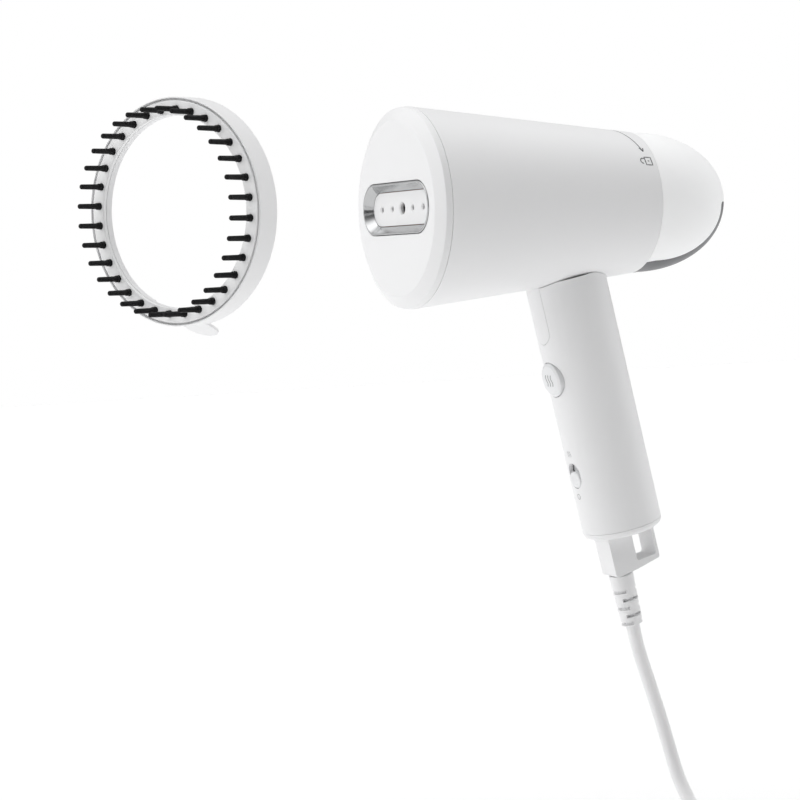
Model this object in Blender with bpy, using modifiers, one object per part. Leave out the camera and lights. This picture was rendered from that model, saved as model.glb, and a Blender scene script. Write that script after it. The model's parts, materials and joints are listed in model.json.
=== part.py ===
"""Handheld garment steamer with a clip-on bristle ring, built as an assembly.

The origin is the middle of the hand grip. +Z is up, the steam face looks along -Y, and the head's
axis is level and parallel to Y. The brush ring stands in front of the head, as it does just before
it is pushed on. Lengths are metres and angles are degrees.
"""
import math

import bmesh
import bpy
from mathutils import Matrix, Vector

# ---- Driving dimensions: clearances and walls ----------------------------------------------------
GAP = 0.0003            # between two pieces that touch
RUN_GAP = 0.0005        # between two pieces that move on each other
SHELL_WALL = 0.0022     # head casing
HANDLE_WALL = 0.0020

# ---- Head ----------------------------------------------------------------------------------------
HEAD_RISE = 0.0965      # head axis above the grip centre
GRIP_BACK = 0.0950      # grip centre behind the rim
RIM_RADIUS = 0.0440     # widest circle of the front cover
FACE_RADIUS = 0.0386    # flat part of the front cover
FACE_STAND = 0.0031     # face ahead of the rim
BAND_DEPTH = 0.0030     # side band of the front cover, behind the rim
HEAD_LENGTH = 0.1139    # rim to the seam with the tank
SEAM_RADIUS = 0.0323
COVER_SPIGOT = 0.0045   # length of the cover's lip inside the casing

# ---- Steam outlet --------------------------------------------------------------------------------
OUTLET_WIDTH = 0.0660
OUTLET_HEIGHT = 0.0225
OUTLET_BORDER = 0.0036
OUTLET_DEPTH = 0.0034
HOLE_PITCH = 0.0103
HOLE_RADIUS = 0.0012
MIDDLE_HOLE_RADIUS = 0.0025

# ---- Boiler and pump -----------------------------------------------------------------------------
BOILER_WIDTH = 0.0600
BOILER_HEIGHT = 0.0280
BOILER_FRONT = 0.0087   # behind the rim
BOILER_COVER = 0.0025
BOILER_DEPTH = 0.0265
HEATER_RADIUS = 0.0032
HEATER_HALF_SPAN = 0.0215
HEATER_RISE = 0.0088
BRACKET_THICK = 0.0030
PUMP_FRONT = 0.0545
PUMP_LENGTH = 0.0335
PUMP_RADIUS = 0.0098
COIL_RADIUS = 0.0155
HOSE_RADIUS = 0.0028

# ---- Tank and its bayonet ------------------------------------------------------------------------
SOCKET_SETBACK = 0.0139 # front of the bulkhead, ahead of the seam
SOCKET_THICK = 0.0025
NECK_RADIUS = 0.0180
NECK_WALL = 0.0022
SPIGOT_LEAD = 0.0050    # spigot ahead of the bulkhead
SPIGOT_REACH = 0.0090   # and behind the bulkhead's front
COLLAR_WALL = 0.0035
LUG_REACH = 0.0032
LUG_ANGLE = 22.0
LUG_THICK = 0.0030
SEAL_THICK = 0.0015
TANK_TURN = 30.0        # from locked to free
TANK_STRAIGHT = 0.0040
DOME_LENGTH = 0.0431
TANK_WALL = 0.0024
TRIM_THICK = 0.0009
TRIM_HALF_WIDTH = 0.0205
TRIM_FOOT_HALF_WIDTH = 0.0120

# ---- Handle --------------------------------------------------------------------------------------
HANDLE_TILT = 12.8
HANDLE_RADIUS = 0.0184
GRIP_TO_END = 0.0547
END_CAP_HEIGHT = 0.0032
TONGUE_HALF_WIDTH = 0.0060
TONGUE_FOOT = 0.0385    # above the grip centre, along the handle
BUTTON_RISE = 0.0220
BUTTON_RADIUS = 0.0079
BUTTON_TRAVEL = 0.0025
SLIDER_DROP = 0.0234
SLOT_LENGTH = 0.0120
SLOT_WIDTH = 0.0092
SLIDER_TRAVEL = 0.0038

# ---- Cord anchor and strain relief ---------------------------------------------------------------
ANCHOR_WIDTH = 0.0131
ANCHOR_FRONT = 0.0124   # ahead of the handle axis
ANCHOR_REAR = 0.0122
ANCHOR_HEIGHT = 0.0190
ANCHOR_LOOP_WALL = 0.0015
CORD_FORWARD = 0.0064   # cord axis ahead of the handle axis
CORD_RADIUS = 0.0032
RELIEF_LENGTH = 0.0240
RELIEF_TOP_RADIUS = 0.0060
RELIEF_END_RADIUS = 0.0050
STEM_RADIUS = 0.0036

# ---- Brush ring ----------------------------------------------------------------------------------
BRISTLES = 32
BRISTLE_LENGTH = 0.0120
BRISTLE_RADIUS = 0.0009
BRISTLE_CIRCLE = 0.0414
RING_OPENING = 0.0390
RING_WALL = 0.0014
RIM_CLEARANCE = 0.0010  # ring wall to the head's rim
RING_FRONT = 0.0088     # ring front ahead of the rim when it is clipped on
RING_GRIP = 0.0020      # ring wall behind the rim when it is clipped on
BRUSH_PIVOT = 0.2400    # upright swing axis, to the side of the head axis
BRUSH_SWING = 27.15

# ---- Cord, coil and plug -------------------------------------------------------------------------
FLOOR = -0.1965         # surface that the coil and plug lie on
COIL_CENTRE = (0.0500, -0.0088)
COIL_TURN_RADIUS = 0.0368
COIL_COLUMNS = 4
COIL_ROWS = 2
TIE_THICK = 0.0008
TIE_WIDTH = 0.0090
TIE_ANGLE = -60.0       # round the coil from the side
PLUG_WIDTH = 0.0350
PLUG_HEIGHT = 0.0140
PLUG_LENGTH = 0.0380
PIN_PITCH = 0.0190
PIN_RADIUS = 0.0024
PIN_LENGTH = 0.0190
CORD_PITCH = 2 * CORD_RADIUS
PLUG_PLACE = (0.0740, -0.1160)

STEPS = 48              # round the large turned pieces

for old in list(bpy.data.objects):
    bpy.data.objects.remove(old, do_unlink=True)
steamer = bpy.data.collections.new("handheld_steamer")
tools = bpy.data.collections.new("cutters")
for group in (steamer, tools):
    bpy.context.scene.collection.children.link(group)


def frame(name, place, turn_about_x):
    """An empty whose axes a group of pieces is laid out in."""
    empty = bpy.data.objects.new(name, None)
    empty.location = place
    empty.rotation_euler = (math.radians(turn_about_x), 0, 0)
    steamer.objects.link(empty)
    return empty


# In the head's frame X is the side, Y is up and Z is forward from the rim.
HEAD = frame("head_axis", (0, -GRIP_BACK, HEAD_RISE), 90)
# In the handle's frame Z runs up the handle from the grip centre and -Y is its front.
HANDLE = frame("handle_axis", (0, 0, 0), HANDLE_TILT)
GROUND = frame("ground", (0, 0, FLOOR), 0)
BRUSH = frame("brush_axis", (BRUSH_PIVOT, -GRIP_BACK, HEAD_RISE), 0)
BRUSH.rotation_euler = (math.radians(90), 0, math.radians(BRUSH_SWING))
BRUSH_X = -BRUSH_PIVOT  # the ring's centre in the brush frame
bpy.context.view_layer.update()


def plastic(name, colour, roughness=0.4, metallic=0.0, alpha=1.0):
    """A Principled material of one colour."""
    made = bpy.data.materials.new(name)
    made.use_nodes = True
    shader = made.node_tree.nodes["Principled BSDF"]
    shader.inputs["Base Color"].default_value = (*colour, 1)
    shader.inputs["Roughness"].default_value = roughness
    shader.inputs["Metallic"].default_value = metallic
    shader.inputs["Alpha"].default_value = alpha
    return made


WHITE = plastic("white_plastic", (0.82, 0.82, 0.83), 0.35)
PALE = plastic("pale_grey_plastic", (0.70, 0.71, 0.72), 0.4)
DARK = plastic("dark_plastic", (0.20, 0.20, 0.21), 0.45)
BLACK = plastic("black_bristle", (0.02, 0.02, 0.02), 0.5)
CHROME = plastic("chrome", (0.75, 0.76, 0.78), 0.1, 1.0)
ALUMINIUM = plastic("cast_aluminium", (0.6, 0.6, 0.62), 0.4, 1.0)
STEEL = plastic("plated_steel", (0.62, 0.61, 0.58), 0.3, 1.0)
COPPER = plastic("copper_winding", (0.55, 0.27, 0.12), 0.35, 1.0)
BRASS = plastic("brass", (0.72, 0.55, 0.25), 0.3, 1.0)
SILICONE = plastic("silicone", (0.75, 0.35, 0.25), 0.6)
RUBBER = plastic("black_rubber", (0.05, 0.05, 0.05), 0.7)
BOARD = plastic("circuit_board", (0.05, 0.25, 0.12), 0.5)
CLEAR = plastic("frosted_clear", (0.85, 0.87, 0.88), 0.3, 0.0, 0.5)
SHEATH = plastic("cord_sheath", (0.86, 0.86, 0.87), 0.5)


# ---- Shape makers --------------------------------------------------------------------------------
def put(name, mesh, base, material, cutter=False):
    """Place a mesh in a frame, as a piece or as a cutter."""
    piece = bpy.data.objects.new(name, mesh)
    (tools if cutter else steamer).objects.link(piece)
    piece.parent = base
    if cutter:
        piece.hide_render = True
        piece.display_type = "WIRE"
    else:
        mesh.materials.append(material)
    return piece


def smooth(piece, angle=35):
    piece.data.shade_smooth()
    piece.data.set_sharp_from_angle(angle=math.radians(angle))
    return piece


def lathe(name, profile, base, material=None, centre=(0, 0), steps=STEPS, closed=True, cutter=False):
    """Turn (radius, height) points about the frame's Z. They run down the outer side."""
    mesh = bpy.data.meshes.new(name)
    count = len(profile)
    edges = [(i, i + 1) for i in range(count - 1)]
    if closed:
        edges.append((count - 1, 0))
    mesh.from_pydata([(radius, 0, height) for radius, height in profile], edges, [])
    piece = put(name, mesh, base, material, cutter)
    piece.location = (*centre, 0)
    turn = piece.modifiers.new("turn", "SCREW")
    turn.axis = "Z"
    turn.angle = math.tau
    turn.steps = steps
    turn.render_steps = steps
    turn.use_merge_vertices = True
    turn.merge_threshold = 0.00001
    turn.use_smooth_shade = True
    return piece


def lathe_back(name, profile, base=None, **options):
    """Turn (radius, distance behind the rim) points about the head axis, front to back."""
    return lathe(name, [(radius, -behind) for radius, behind in profile], base or HEAD, **options)


def block(name, low, high, base, material=None, round_edge=0.0, cutter=False):
    """A box between two corners, with rounded edges if asked."""
    made = bmesh.new()
    bmesh.ops.create_cube(made, size=1.0)
    size = Vector(high) - Vector(low)
    middle = (Vector(high) + Vector(low)) / 2
    place = Matrix.Translation(middle) @ Matrix.Diagonal((*size, 1))
    bmesh.ops.transform(made, matrix=place, verts=made.verts)
    mesh = bpy.data.meshes.new(name)
    made.to_mesh(mesh)
    made.free()
    piece = put(name, mesh, base, material, cutter)
    if round_edge:
        edge = piece.modifiers.new("round", "BEVEL")
        edge.width = round_edge
        edge.segments = 2
    return piece


def rod(name, start, end, radius, base, material=None, end_radius=None, sides=24, cutter=False):
    """A round bar or cone between two points of the frame."""
    start, end = Vector(start), Vector(end)
    made = bmesh.new()
    bmesh.ops.create_cone(made, cap_ends=True, segments=sides, radius1=radius,
                          radius2=end_radius or radius, depth=(end - start).length)
    turn = (end - start).to_track_quat("Z", "Y").to_matrix().to_4x4()
    bmesh.ops.transform(made, matrix=Matrix.Translation((start + end) / 2) @ turn, verts=made.verts)
    mesh = bpy.data.meshes.new(name)
    made.to_mesh(mesh)
    made.free()
    return smooth(put(name, mesh, base, material, cutter))


def slab(name, outline, low, high, base, material=None, axis="Z", cutter=False):
    """A flat outline filled and given thickness between two levels along an axis of the frame."""
    made = bmesh.new()
    flat = {"Z": lambda u, v: (u, v, low), "X": lambda u, v: (low, u, v)}[axis]
    face = made.faces.new([made.verts.new(flat(u, v)) for u, v in outline])
    grown = bmesh.ops.extrude_face_region(made, geom=[face])["geom"]
    step = {"Z": (0, 0, high - low), "X": (high - low, 0, 0)}[axis]
    bmesh.ops.translate(made, vec=step, verts=[v for v in grown if isinstance(v, bmesh.types.BMVert)])
    bmesh.ops.recalc_face_normals(made, faces=made.faces)
    mesh = bpy.data.meshes.new(name)
    made.to_mesh(mesh)
    made.free()
    return put(name, mesh, base, material, cutter)


def tube(name, points, radius, base, material=None, resolution=2, cutter=False):
    """A round cord or pipe through points, as a closed mesh."""
    curve = bpy.data.curves.new(name, "CURVE")
    curve.dimensions = "3D"
    curve.bevel_depth = radius
    curve.bevel_resolution = resolution
    curve.use_fill_caps = True
    line = curve.splines.new("POLY")
    line.points.add(len(points) - 1)
    for point, place in zip(line.points, points):
        point.co = (*place, 1)
    guide = bpy.data.objects.new(name + "_line", curve)
    tools.objects.link(guide)
    mesh = bpy.data.meshes.new_from_object(guide.evaluated_get(bpy.context.evaluated_depsgraph_get()))
    mesh.name = name
    bpy.data.objects.remove(guide)
    made = bmesh.new()
    made.from_mesh(mesh)
    bmesh.ops.remove_doubles(made, verts=made.verts, dist=0.00001)
    bmesh.ops.recalc_face_normals(made, faces=made.faces)
    made.to_mesh(mesh)
    made.free()
    return smooth(put(name, mesh, base, material, cutter), 60)


def apply_modifier(target, tool, operation):
    change = target.modifiers.new(tool.name, "BOOLEAN")
    change.object = tool
    change.operation = operation
    change.solver = "EXACT"


def cut(target, *cutters):
    """Take cutters away from a piece."""
    for tool in cutters:
        apply_modifier(target, tool, "DIFFERENCE")
    return target


def join(target, *additions):
    """Add shapes to a piece so that they are one body."""
    for tool in additions:
        apply_modifier(target, tool, "UNION")
    return target


def keep_inside(target, tool):
    apply_modifier(target, tool, "INTERSECT")
    return target


# ---- Outlines ------------------------------------------------------------------------------------
def arc(centre, radius, start, end, count):
    """Points on an arc, in degrees, both ends included."""
    return [(centre[0] + radius * math.cos(math.radians(start + (end - start) * i / count)),
             centre[1] + radius * math.sin(math.radians(start + (end - start) * i / count)))
            for i in range(count + 1)]


def stadium(width, height, centre=(0, 0), count=10):
    """A slot outline whose long side is the wider one."""
    radius = min(width, height) / 2
    run_x = width / 2 - radius
    run_y = height / 2 - radius
    if width >= height:
        return (arc((centre[0] + run_x, centre[1]), radius, -90, 90, count)
                + arc((centre[0] - run_x, centre[1]), radius, 90, 270, count))
    return (arc((centre[0], centre[1] + run_y), radius, 0, 180, count)
            + arc((centre[0], centre[1] - run_y), radius, 180, 360, count))


def rounded(corners, radius, count=3):
    """A polygon with its corners rounded, counted the same way round."""
    points = []
    for i, corner in enumerate(corners):
        here = Vector(corner)
        before = (Vector(corners[i - 1]) - here).normalized()
        after = (Vector(corners[(i + 1) % len(corners)]) - here).normalized()
        half = before.angle(after) / 2
        start = here + before * radius / math.tan(half)
        end = here + after * radius / math.tan(half)
        centre = here + (before + after).normalized() * radius / math.sin(half)
        for step in range(count + 1):
            way = (start - centre).lerp(end - centre, step / count).normalized()
            points.append(tuple(centre + way * radius))
    return points


def sector(inner, outer, start, end, count=6):
    """A piece of a flat ring between two angles."""
    return arc((0, 0), outer, start, end, count) + arc((0, 0), inner, end, start, count)


def stadium_ring(name, loops, base, material, cutter=False):
    """Loft stadiums of (width, height, forward) into a closed ring."""
    made = bmesh.new()
    rims = [[made.verts.new((x, y, forward)) for x, y in stadium(width, height)]
            for width, height, forward in loops]
    for i, rim in enumerate(rims):
        for j, corner in enumerate(rim):
            made.faces.new((rims[i - 1][j - 1], rims[i - 1][j], corner, rim[j - 1]))
    bmesh.ops.recalc_face_normals(made, faces=made.faces)
    mesh = bpy.data.meshes.new(name)
    made.to_mesh(mesh)
    made.free()
    return smooth(put(name, mesh, base, material, cutter))


# ---- Casing sections -----------------------------------------------------------------------------
CASING_FRONT = BAND_DEPTH + GAP
BAND_RADIUS = RIM_RADIUS + 0.0003


def casing_radius(behind):
    """Outside of the tapered head at a distance behind the rim."""
    share = (behind - CASING_FRONT) / (HEAD_LENGTH - CASING_FRONT)
    return BAND_RADIUS + (SEAM_RADIUS - BAND_RADIUS) * share


def casing_bore(behind):
    return casing_radius(behind) - SHELL_WALL


def head_to_handle(up, behind):
    """(y, z) in the handle's frame of a point on the head's middle plane."""
    point = HANDLE.matrix_world.inverted() @ HEAD.matrix_world @ Vector((0, up, -behind))
    return point.y, point.z


def handle_to_world(x, y, z):
    return HANDLE.matrix_world @ Vector((x, y, z))


HANDLE_BORE = HANDLE_RADIUS - HANDLE_WALL
HANDLE_END = -GRIP_TO_END
HANDLE_TOP = 0.0800     # above the casing everywhere, before the saddle is cut

# ---- Head casing ---------------------------------------------------------------------------------
body_shell = lathe_back("body_shell", [
    (casing_radius(CASING_FRONT), CASING_FRONT),
    (casing_radius(HEAD_LENGTH), HEAD_LENGTH),
    (casing_bore(HEAD_LENGTH), HEAD_LENGTH),
    (casing_bore(CASING_FRONT), CASING_FRONT)], material=WHITE)
# A strip of the casing runs down the front of the handle and covers its joint.
tongue = lathe("tongue_blank", [
    (HANDLE_RADIUS, HANDLE_TOP), (HANDLE_RADIUS, 0), (HANDLE_BORE + 0.0006, 0),
    (HANDLE_BORE + 0.0006, HANDLE_TOP)], HANDLE, steps=48, cutter=True)
tongue_window = slab("tongue_outline", [(-TONGUE_HALF_WIDTH, HANDLE_TOP - 0.002)]
                     + arc((0, TONGUE_FOOT + TONGUE_HALF_WIDTH), TONGUE_HALF_WIDTH, 180, 360, 12)
                     + [(TONGUE_HALF_WIDTH, HANDLE_TOP - 0.002)],
                     0.005, 0.030, HANDLE, cutter=True)
tongue_window.rotation_euler = (math.radians(90), 0, 0)
keep_inside(tongue, tongue_window)
casing_inside = lathe_back("casing_inside", [
    (0, CASING_FRONT), (casing_radius(CASING_FRONT) - 0.0011, CASING_FRONT),
    (casing_radius(HEAD_LENGTH) - 0.0011, HEAD_LENGTH), (0, HEAD_LENGTH)],
    closed=False, cutter=True)
cut(tongue, casing_inside)
join(body_shell, tongue)
NECK_AHEAD = 0.0140     # where the handle meets the casing, ahead of the grip centre
neck_z = head_to_handle(-casing_bore(GRIP_BACK - NECK_AHEAD), GRIP_BACK - NECK_AHEAD)[1]
wire_hole = rod("wire_hole", (0, 0.001, neck_z - 0.012), (0, 0.001, neck_z + 0.012),
                HANDLE_BORE - 0.0035, HANDLE, cutter=True)
cut(body_shell, wire_hole)

front_cover = lathe_back("front_cover", [
    (0, -FACE_STAND), (FACE_RADIUS, -FACE_STAND), (RIM_RADIUS, 0), (BAND_RADIUS, BAND_DEPTH),
    (casing_bore(CASING_FRONT) - GAP, BAND_DEPTH),
    (casing_bore(CASING_FRONT + COVER_SPIGOT) - GAP, CASING_FRONT + COVER_SPIGOT),
    (casing_bore(CASING_FRONT + COVER_SPIGOT) - GAP - SHELL_WALL, CASING_FRONT + COVER_SPIGOT),
    (casing_bore(CASING_FRONT + COVER_SPIGOT) - GAP - SHELL_WALL, SHELL_WALL),
    (FACE_RADIUS - SHELL_WALL / 2, SHELL_WALL - FACE_STAND), (0, SHELL_WALL - FACE_STAND)],
    material=WHITE, closed=False)
outlet_mouth = slab("outlet_mouth", stadium(OUTLET_WIDTH + 2 * GAP, OUTLET_HEIGHT + 2 * GAP),
                    -0.006, 0.006, HEAD, cutter=True)
cut(front_cover, outlet_mouth)

# ---- Steam outlet --------------------------------------------------------------------------------
plate_front = FACE_STAND - OUTLET_DEPTH      # forward of the rim
plate_width = OUTLET_WIDTH - 2 * OUTLET_BORDER
plate_height = OUTLET_HEIGHT - 2 * OUTLET_BORDER
PLATE_THICK = 0.0018
frame_back = plate_front - PLATE_THICK
nozzle_frame = stadium_ring("nozzle_frame", [
    (OUTLET_WIDTH, OUTLET_HEIGHT, FACE_STAND + 0.0003),
    (OUTLET_WIDTH, OUTLET_HEIGHT, frame_back),
    (plate_width, plate_height, frame_back),
    (plate_width, plate_height, plate_front),
    (OUTLET_WIDTH - 0.0016, OUTLET_HEIGHT - 0.0016, FACE_STAND + 0.0003)], HEAD, CHROME)
steam_plate = slab("steam_plate", stadium(plate_width - 2 * GAP, plate_height - 2 * GAP),
                   frame_back, plate_front, HEAD, WHITE)
for number in range(-2, 3):
    radius = HOLE_RADIUS if number else MIDDLE_HOLE_RADIUS
    cut(steam_plate, rod(f"steam_hole_{number + 3}", (number * HOLE_PITCH, 0, frame_back - 0.002),
                         (number * HOLE_PITCH, 0, plate_front + 0.002), radius, HEAD,
                         sides=16, cutter=True))
gasket_front = frame_back - GAP
gasket_back = -(BOILER_FRONT - GAP)
nozzle_gasket = stadium_ring("nozzle_gasket", [
    (OUTLET_WIDTH - 0.003, OUTLET_HEIGHT - 0.003, gasket_front),
    (OUTLET_WIDTH - 0.008, OUTLET_HEIGHT - 0.006, gasket_back),
    (plate_width - 0.008, plate_height - 0.005, gasket_back),
    (plate_width - 0.003, plate_height - 0.002, gasket_front)], HEAD, SILICONE)

# ---- Boiler --------------------------------------------------------------------------------------
half_width = BOILER_WIDTH / 2
half_height = BOILER_HEIGHT / 2
cover_back = BOILER_FRONT + BOILER_COVER
boiler_front = cover_back + GAP
boiler_back = boiler_front + BOILER_DEPTH
CHAMBER_DEPTH = 0.0160
CHAMBER_HEIGHT = 0.0120
CHAMBER_DROP = 0.0045
boiler_cover = block("boiler_cover", (-half_width, -half_height, -cover_back),
                     (half_width, half_height, -BOILER_FRONT), HEAD, ALUMINIUM, 0.0006)
cut(boiler_cover, slab("cover_slot", stadium(BOILER_WIDTH - 0.016, 0.005), -0.020, 0, HEAD, cutter=True))
boiler_body = block("boiler_body", (-half_width, -half_height, -boiler_back),
                    (half_width, half_height, -boiler_front), HEAD, ALUMINIUM, 0.0015)
heater_line = ([(-HEATER_HALF_SPAN, HEATER_RISE, -boiler_back - 0.007)]
               + [(x, HEATER_RISE, z) for x, z in
                  arc((-HEATER_HALF_SPAN + 0.008, -boiler_front - 0.014), 0.008, 180, 90, 6)]
               + [(x, HEATER_RISE, z) for x, z in
                  arc((HEATER_HALF_SPAN - 0.008, -boiler_front - 0.014), 0.008, 90, 0, 6)]
               + [(HEATER_HALF_SPAN, HEATER_RISE, -boiler_back - 0.007)])
cut(boiler_body,
    slab("steam_chamber", stadium(BOILER_WIDTH - 0.010, CHAMBER_HEIGHT, (0, -CHAMBER_DROP)),
         -boiler_front - CHAMBER_DEPTH, -boiler_front + 0.002, HEAD, cutter=True),
    tube("heater_channel", heater_line, HEATER_RADIUS + GAP, HEAD, cutter=True),
    rod("water_inlet", (0, -CHAMBER_DROP, -boiler_back - 0.002), (0, -CHAMBER_DROP, -boiler_front - 0.012),
        0.0020, HEAD, sides=16, cutter=True))
heating_element = tube("heating_element", heater_line, HEATER_RADIUS, HEAD, STEEL)

THERMOSTAT_BACK = 0.0230
thermostat = lathe("thermostat", [
    (0, 0.0065), (0.0060, 0.0065), (0.0060, 0.0040), (0.0080, 0.0040), (0.0080, 0), (0, 0)],
    HEAD, DARK, closed=False, steps=20)
thermostat.location = (0.004, half_height + GAP, -THERMOSTAT_BACK)
thermostat.rotation_euler = (math.radians(-90), 0, 0)
fuse_height = half_height + GAP + 0.0021
thermal_fuse = rod("thermal_fuse", (-0.024, fuse_height, -0.0290), (-0.010, fuse_height, -0.0290),
                   0.0021, HEAD, BRASS, sides=16)

bracket_front = boiler_back + GAP
bracket_back = bracket_front + BRACKET_THICK
boiler_bracket = lathe_back("boiler_bracket", [
    (0, bracket_front), (casing_bore(bracket_front) - GAP, bracket_front),
    (casing_bore(bracket_back) - GAP, bracket_back), (0, bracket_back)],
    material=DARK, closed=False, steps=48)
cut(boiler_bracket,
    slab("bracket_window", stadium(2 * HEATER_HALF_SPAN + 0.009, 0.0090, (0, HEATER_RISE)),
         -bracket_back - 0.002, -bracket_front + 0.002, HEAD, cutter=True),
    rod("bracket_hose_hole", (0, -CHAMBER_DROP, -bracket_back - 0.002),
        (0, -CHAMBER_DROP, -bracket_front + 0.002), HOSE_RADIUS + RUN_GAP, HEAD, cutter=True),
    block("bracket_foot_flat", (-0.030, -0.060, -bracket_back - 0.002),
          (0.030, -0.030, -bracket_front + 0.002), HEAD, cutter=True))
SCREW_RADIUS = 0.0014
SCREW_HEAD_RADIUS = 0.0027
SCREW_X = 0.0250
SCREW_Y = 0.0080


def screw(name, x, y, seat, depth, base, upward=False):
    """A pan-head screw whose head sits at a level and whose shank goes towards +Z."""
    way = 1 if upward else -1
    return lathe(name, [(0, seat - way * 0.0018), (SCREW_HEAD_RADIUS, seat - way * 0.0018),
                        (SCREW_HEAD_RADIUS, seat), (SCREW_RADIUS, seat),
                        (SCREW_RADIUS, seat + way * depth), (0, seat + way * depth)][::-way],
                 base, STEEL, centre=(x, y), steps=8, closed=False)


for side, x in (("left", -SCREW_X), ("right", SCREW_X)):
    screw(f"boiler_screw_{side}", x, -SCREW_Y, -bracket_back - GAP, 0.0120, HEAD, upward=True)
    hole = rod(f"boiler_screw_hole_{side}", (x, -SCREW_Y, -bracket_back - 0.002),
               (x, -SCREW_Y, -bracket_back + 0.0130), SCREW_RADIUS + GAP, HEAD, sides=12, cutter=True)
    cut(boiler_bracket, hole)
    cut(boiler_body, hole)

SOCKET_BACK = HEAD_LENGTH - SOCKET_SETBACK

# ---- Pump ----------------------------------------------------------------------------------------
pump_back = PUMP_FRONT + PUMP_LENGTH
coil_front = PUMP_FRONT + 0.008
coil_back = pump_back - 0.010
pump_body = lathe_back("pump_body", [
    (0, PUMP_FRONT - 0.006), (HOSE_RADIUS, PUMP_FRONT - 0.006), (HOSE_RADIUS, PUMP_FRONT),
    (PUMP_RADIUS, PUMP_FRONT), (PUMP_RADIUS, pump_back), (HOSE_RADIUS, pump_back),
    (HOSE_RADIUS, pump_back + 0.004), (0, pump_back + 0.004)], material=PALE, closed=False, steps=24)
pump_coil = lathe_back("pump_coil", [
    (COIL_RADIUS, coil_front), (COIL_RADIUS, coil_back), (PUMP_RADIUS + GAP, coil_back),
    (PUMP_RADIUS + GAP, coil_front)], material=COPPER, steps=24)
YOKE_THICK = 0.0015
yoke_reach = COIL_RADIUS + GAP + YOKE_THICK
pump_yoke = block("pump_yoke", (-0.012, -0.013, -coil_back - GAP - YOKE_THICK),
                  (0.012, yoke_reach, -coil_front + GAP + YOKE_THICK), HEAD, STEEL)
cut(pump_yoke, block("yoke_space", (-0.020, -0.020, -coil_back - GAP),
                     (0.020, COIL_RADIUS + GAP, -coil_front + GAP), HEAD, cutter=True),
    rod("yoke_bore", (0, 0, -coil_back - 0.01), (0, 0, -coil_front + 0.01), PUMP_RADIUS + GAP,
        HEAD, sides=24, cutter=True))
SADDLE_LENGTH = 0.0060
pump_saddle = block("pump_saddle", (-0.011, -casing_bore(pump_back) + 0.0028, -pump_back + 0.0012),
                    (0.011, -0.0035, -pump_back + 0.0012 + SADDLE_LENGTH), HEAD, RUBBER)
cut(pump_saddle, rod("saddle_bore", (0, 0, -pump_back - 0.01), (0, 0, -coil_back + 0.01),
                     PUMP_RADIUS + GAP, HEAD, sides=24, cutter=True))
hose_start = boiler_back + GAP
hose_end = PUMP_FRONT - 0.006 - GAP
pressure_hose = tube("pressure_hose", [
    (0, -CHAMBER_DROP * share, -hose_start - (hose_end - hose_start) * way)
    for way, share in ((0, 1), (0.22, 1), (0.42, 0.75), (0.62, 0.25), (0.8, 0), (1, 0))],
    HOSE_RADIUS - 0.0004, HEAD, CLEAR)
suction_hose = rod("suction_hose", (0, 0, -pump_back - 0.004 - GAP),
                   (0, 0, -SOCKET_BACK + SPIGOT_LEAD + GAP), HOSE_RADIUS, HEAD, CLEAR, sides=16)

# ---- Tank socket ---------------------------------------------------------------------------------
bulkhead_back = SOCKET_BACK + SOCKET_THICK
collar_bore = NECK_RADIUS + RUN_GAP
collar_radius = collar_bore + COLLAR_WALL
lug_radius = NECK_RADIUS + LUG_REACH
socket_end = HEAD_LENGTH - 0.0005
tank_socket = lathe_back("tank_socket", [
    (casing_bore(SOCKET_BACK) - GAP, SOCKET_BACK),
    (casing_bore(bulkhead_back) - GAP, bulkhead_back),
    (collar_radius, bulkhead_back), (collar_radius, socket_end), (collar_bore, socket_end),
    (collar_bore, bulkhead_back), (0.0034, bulkhead_back), (0.0034, SOCKET_BACK)], material=PALE)
neck_front = bulkhead_back + SEAL_THICK + 2 * GAP
lug_front = neck_front + 0.0016
lug_back = lug_front + LUG_THICK
slot_margin = 1.5
for side, middle in (("right", 0), ("left", 180)):
    low = middle - LUG_ANGLE / 2 - slot_margin
    high = middle + LUG_ANGLE / 2 + slot_margin
    cut(tank_socket,
        slab(f"lug_slot_{side}", sector(collar_bore - 0.001, lug_radius + RUN_GAP, low - TANK_TURN, high),
             -lug_back - RUN_GAP, -lug_front + RUN_GAP, HEAD, cutter=True),
        slab(f"lug_entry_{side}", sector(collar_bore - 0.001, lug_radius + RUN_GAP, low - TANK_TURN,
                                         high - TANK_TURN),
             -socket_end - 0.002, -lug_front, HEAD, cutter=True))
spigot_end = SOCKET_BACK + SPIGOT_REACH
inlet_spigot = lathe_back("inlet_spigot", [
    (0.0024, SOCKET_BACK - SPIGOT_LEAD), (0.0024, SOCKET_BACK - GAP - 0.0016),
    (0.0060, SOCKET_BACK - GAP - 0.0016), (0.0060, SOCKET_BACK - GAP),
    (0.0030, SOCKET_BACK - GAP), (0.0030, spigot_end), (0.0014, spigot_end),
    (0.0014, SOCKET_BACK - SPIGOT_LEAD)], material=PALE, steps=16)
socket_seal = lathe_back("socket_seal", [
    (0.0168, bulkhead_back + GAP), (0.0168, neck_front - GAP), (0.0145, neck_front - GAP),
    (0.0145, bulkhead_back + GAP)], material=SILICONE, steps=32)

# ---- Tank ----------------------------------------------------------------------------------------
tank_front = HEAD_LENGTH + RUN_GAP
TANK_STEPS = 40
dome_start = tank_front + TANK_STRAIGHT
dome_radius = casing_radius(dome_start)


def dome(inset, rings=8):
    """Tank wall from its mouth to its tip, set in from the outside."""
    points = [(casing_radius(tank_front) - inset, tank_front)]
    for step in range(rings + 1):
        angle = math.pi / 2 * step / rings
        radius = (dome_radius - inset) * max(math.cos(angle), 0) ** 0.9
        points.append((radius if step < rings else 0, dome_start + (DOME_LENGTH - inset) * math.sin(angle)))
    return points


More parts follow.
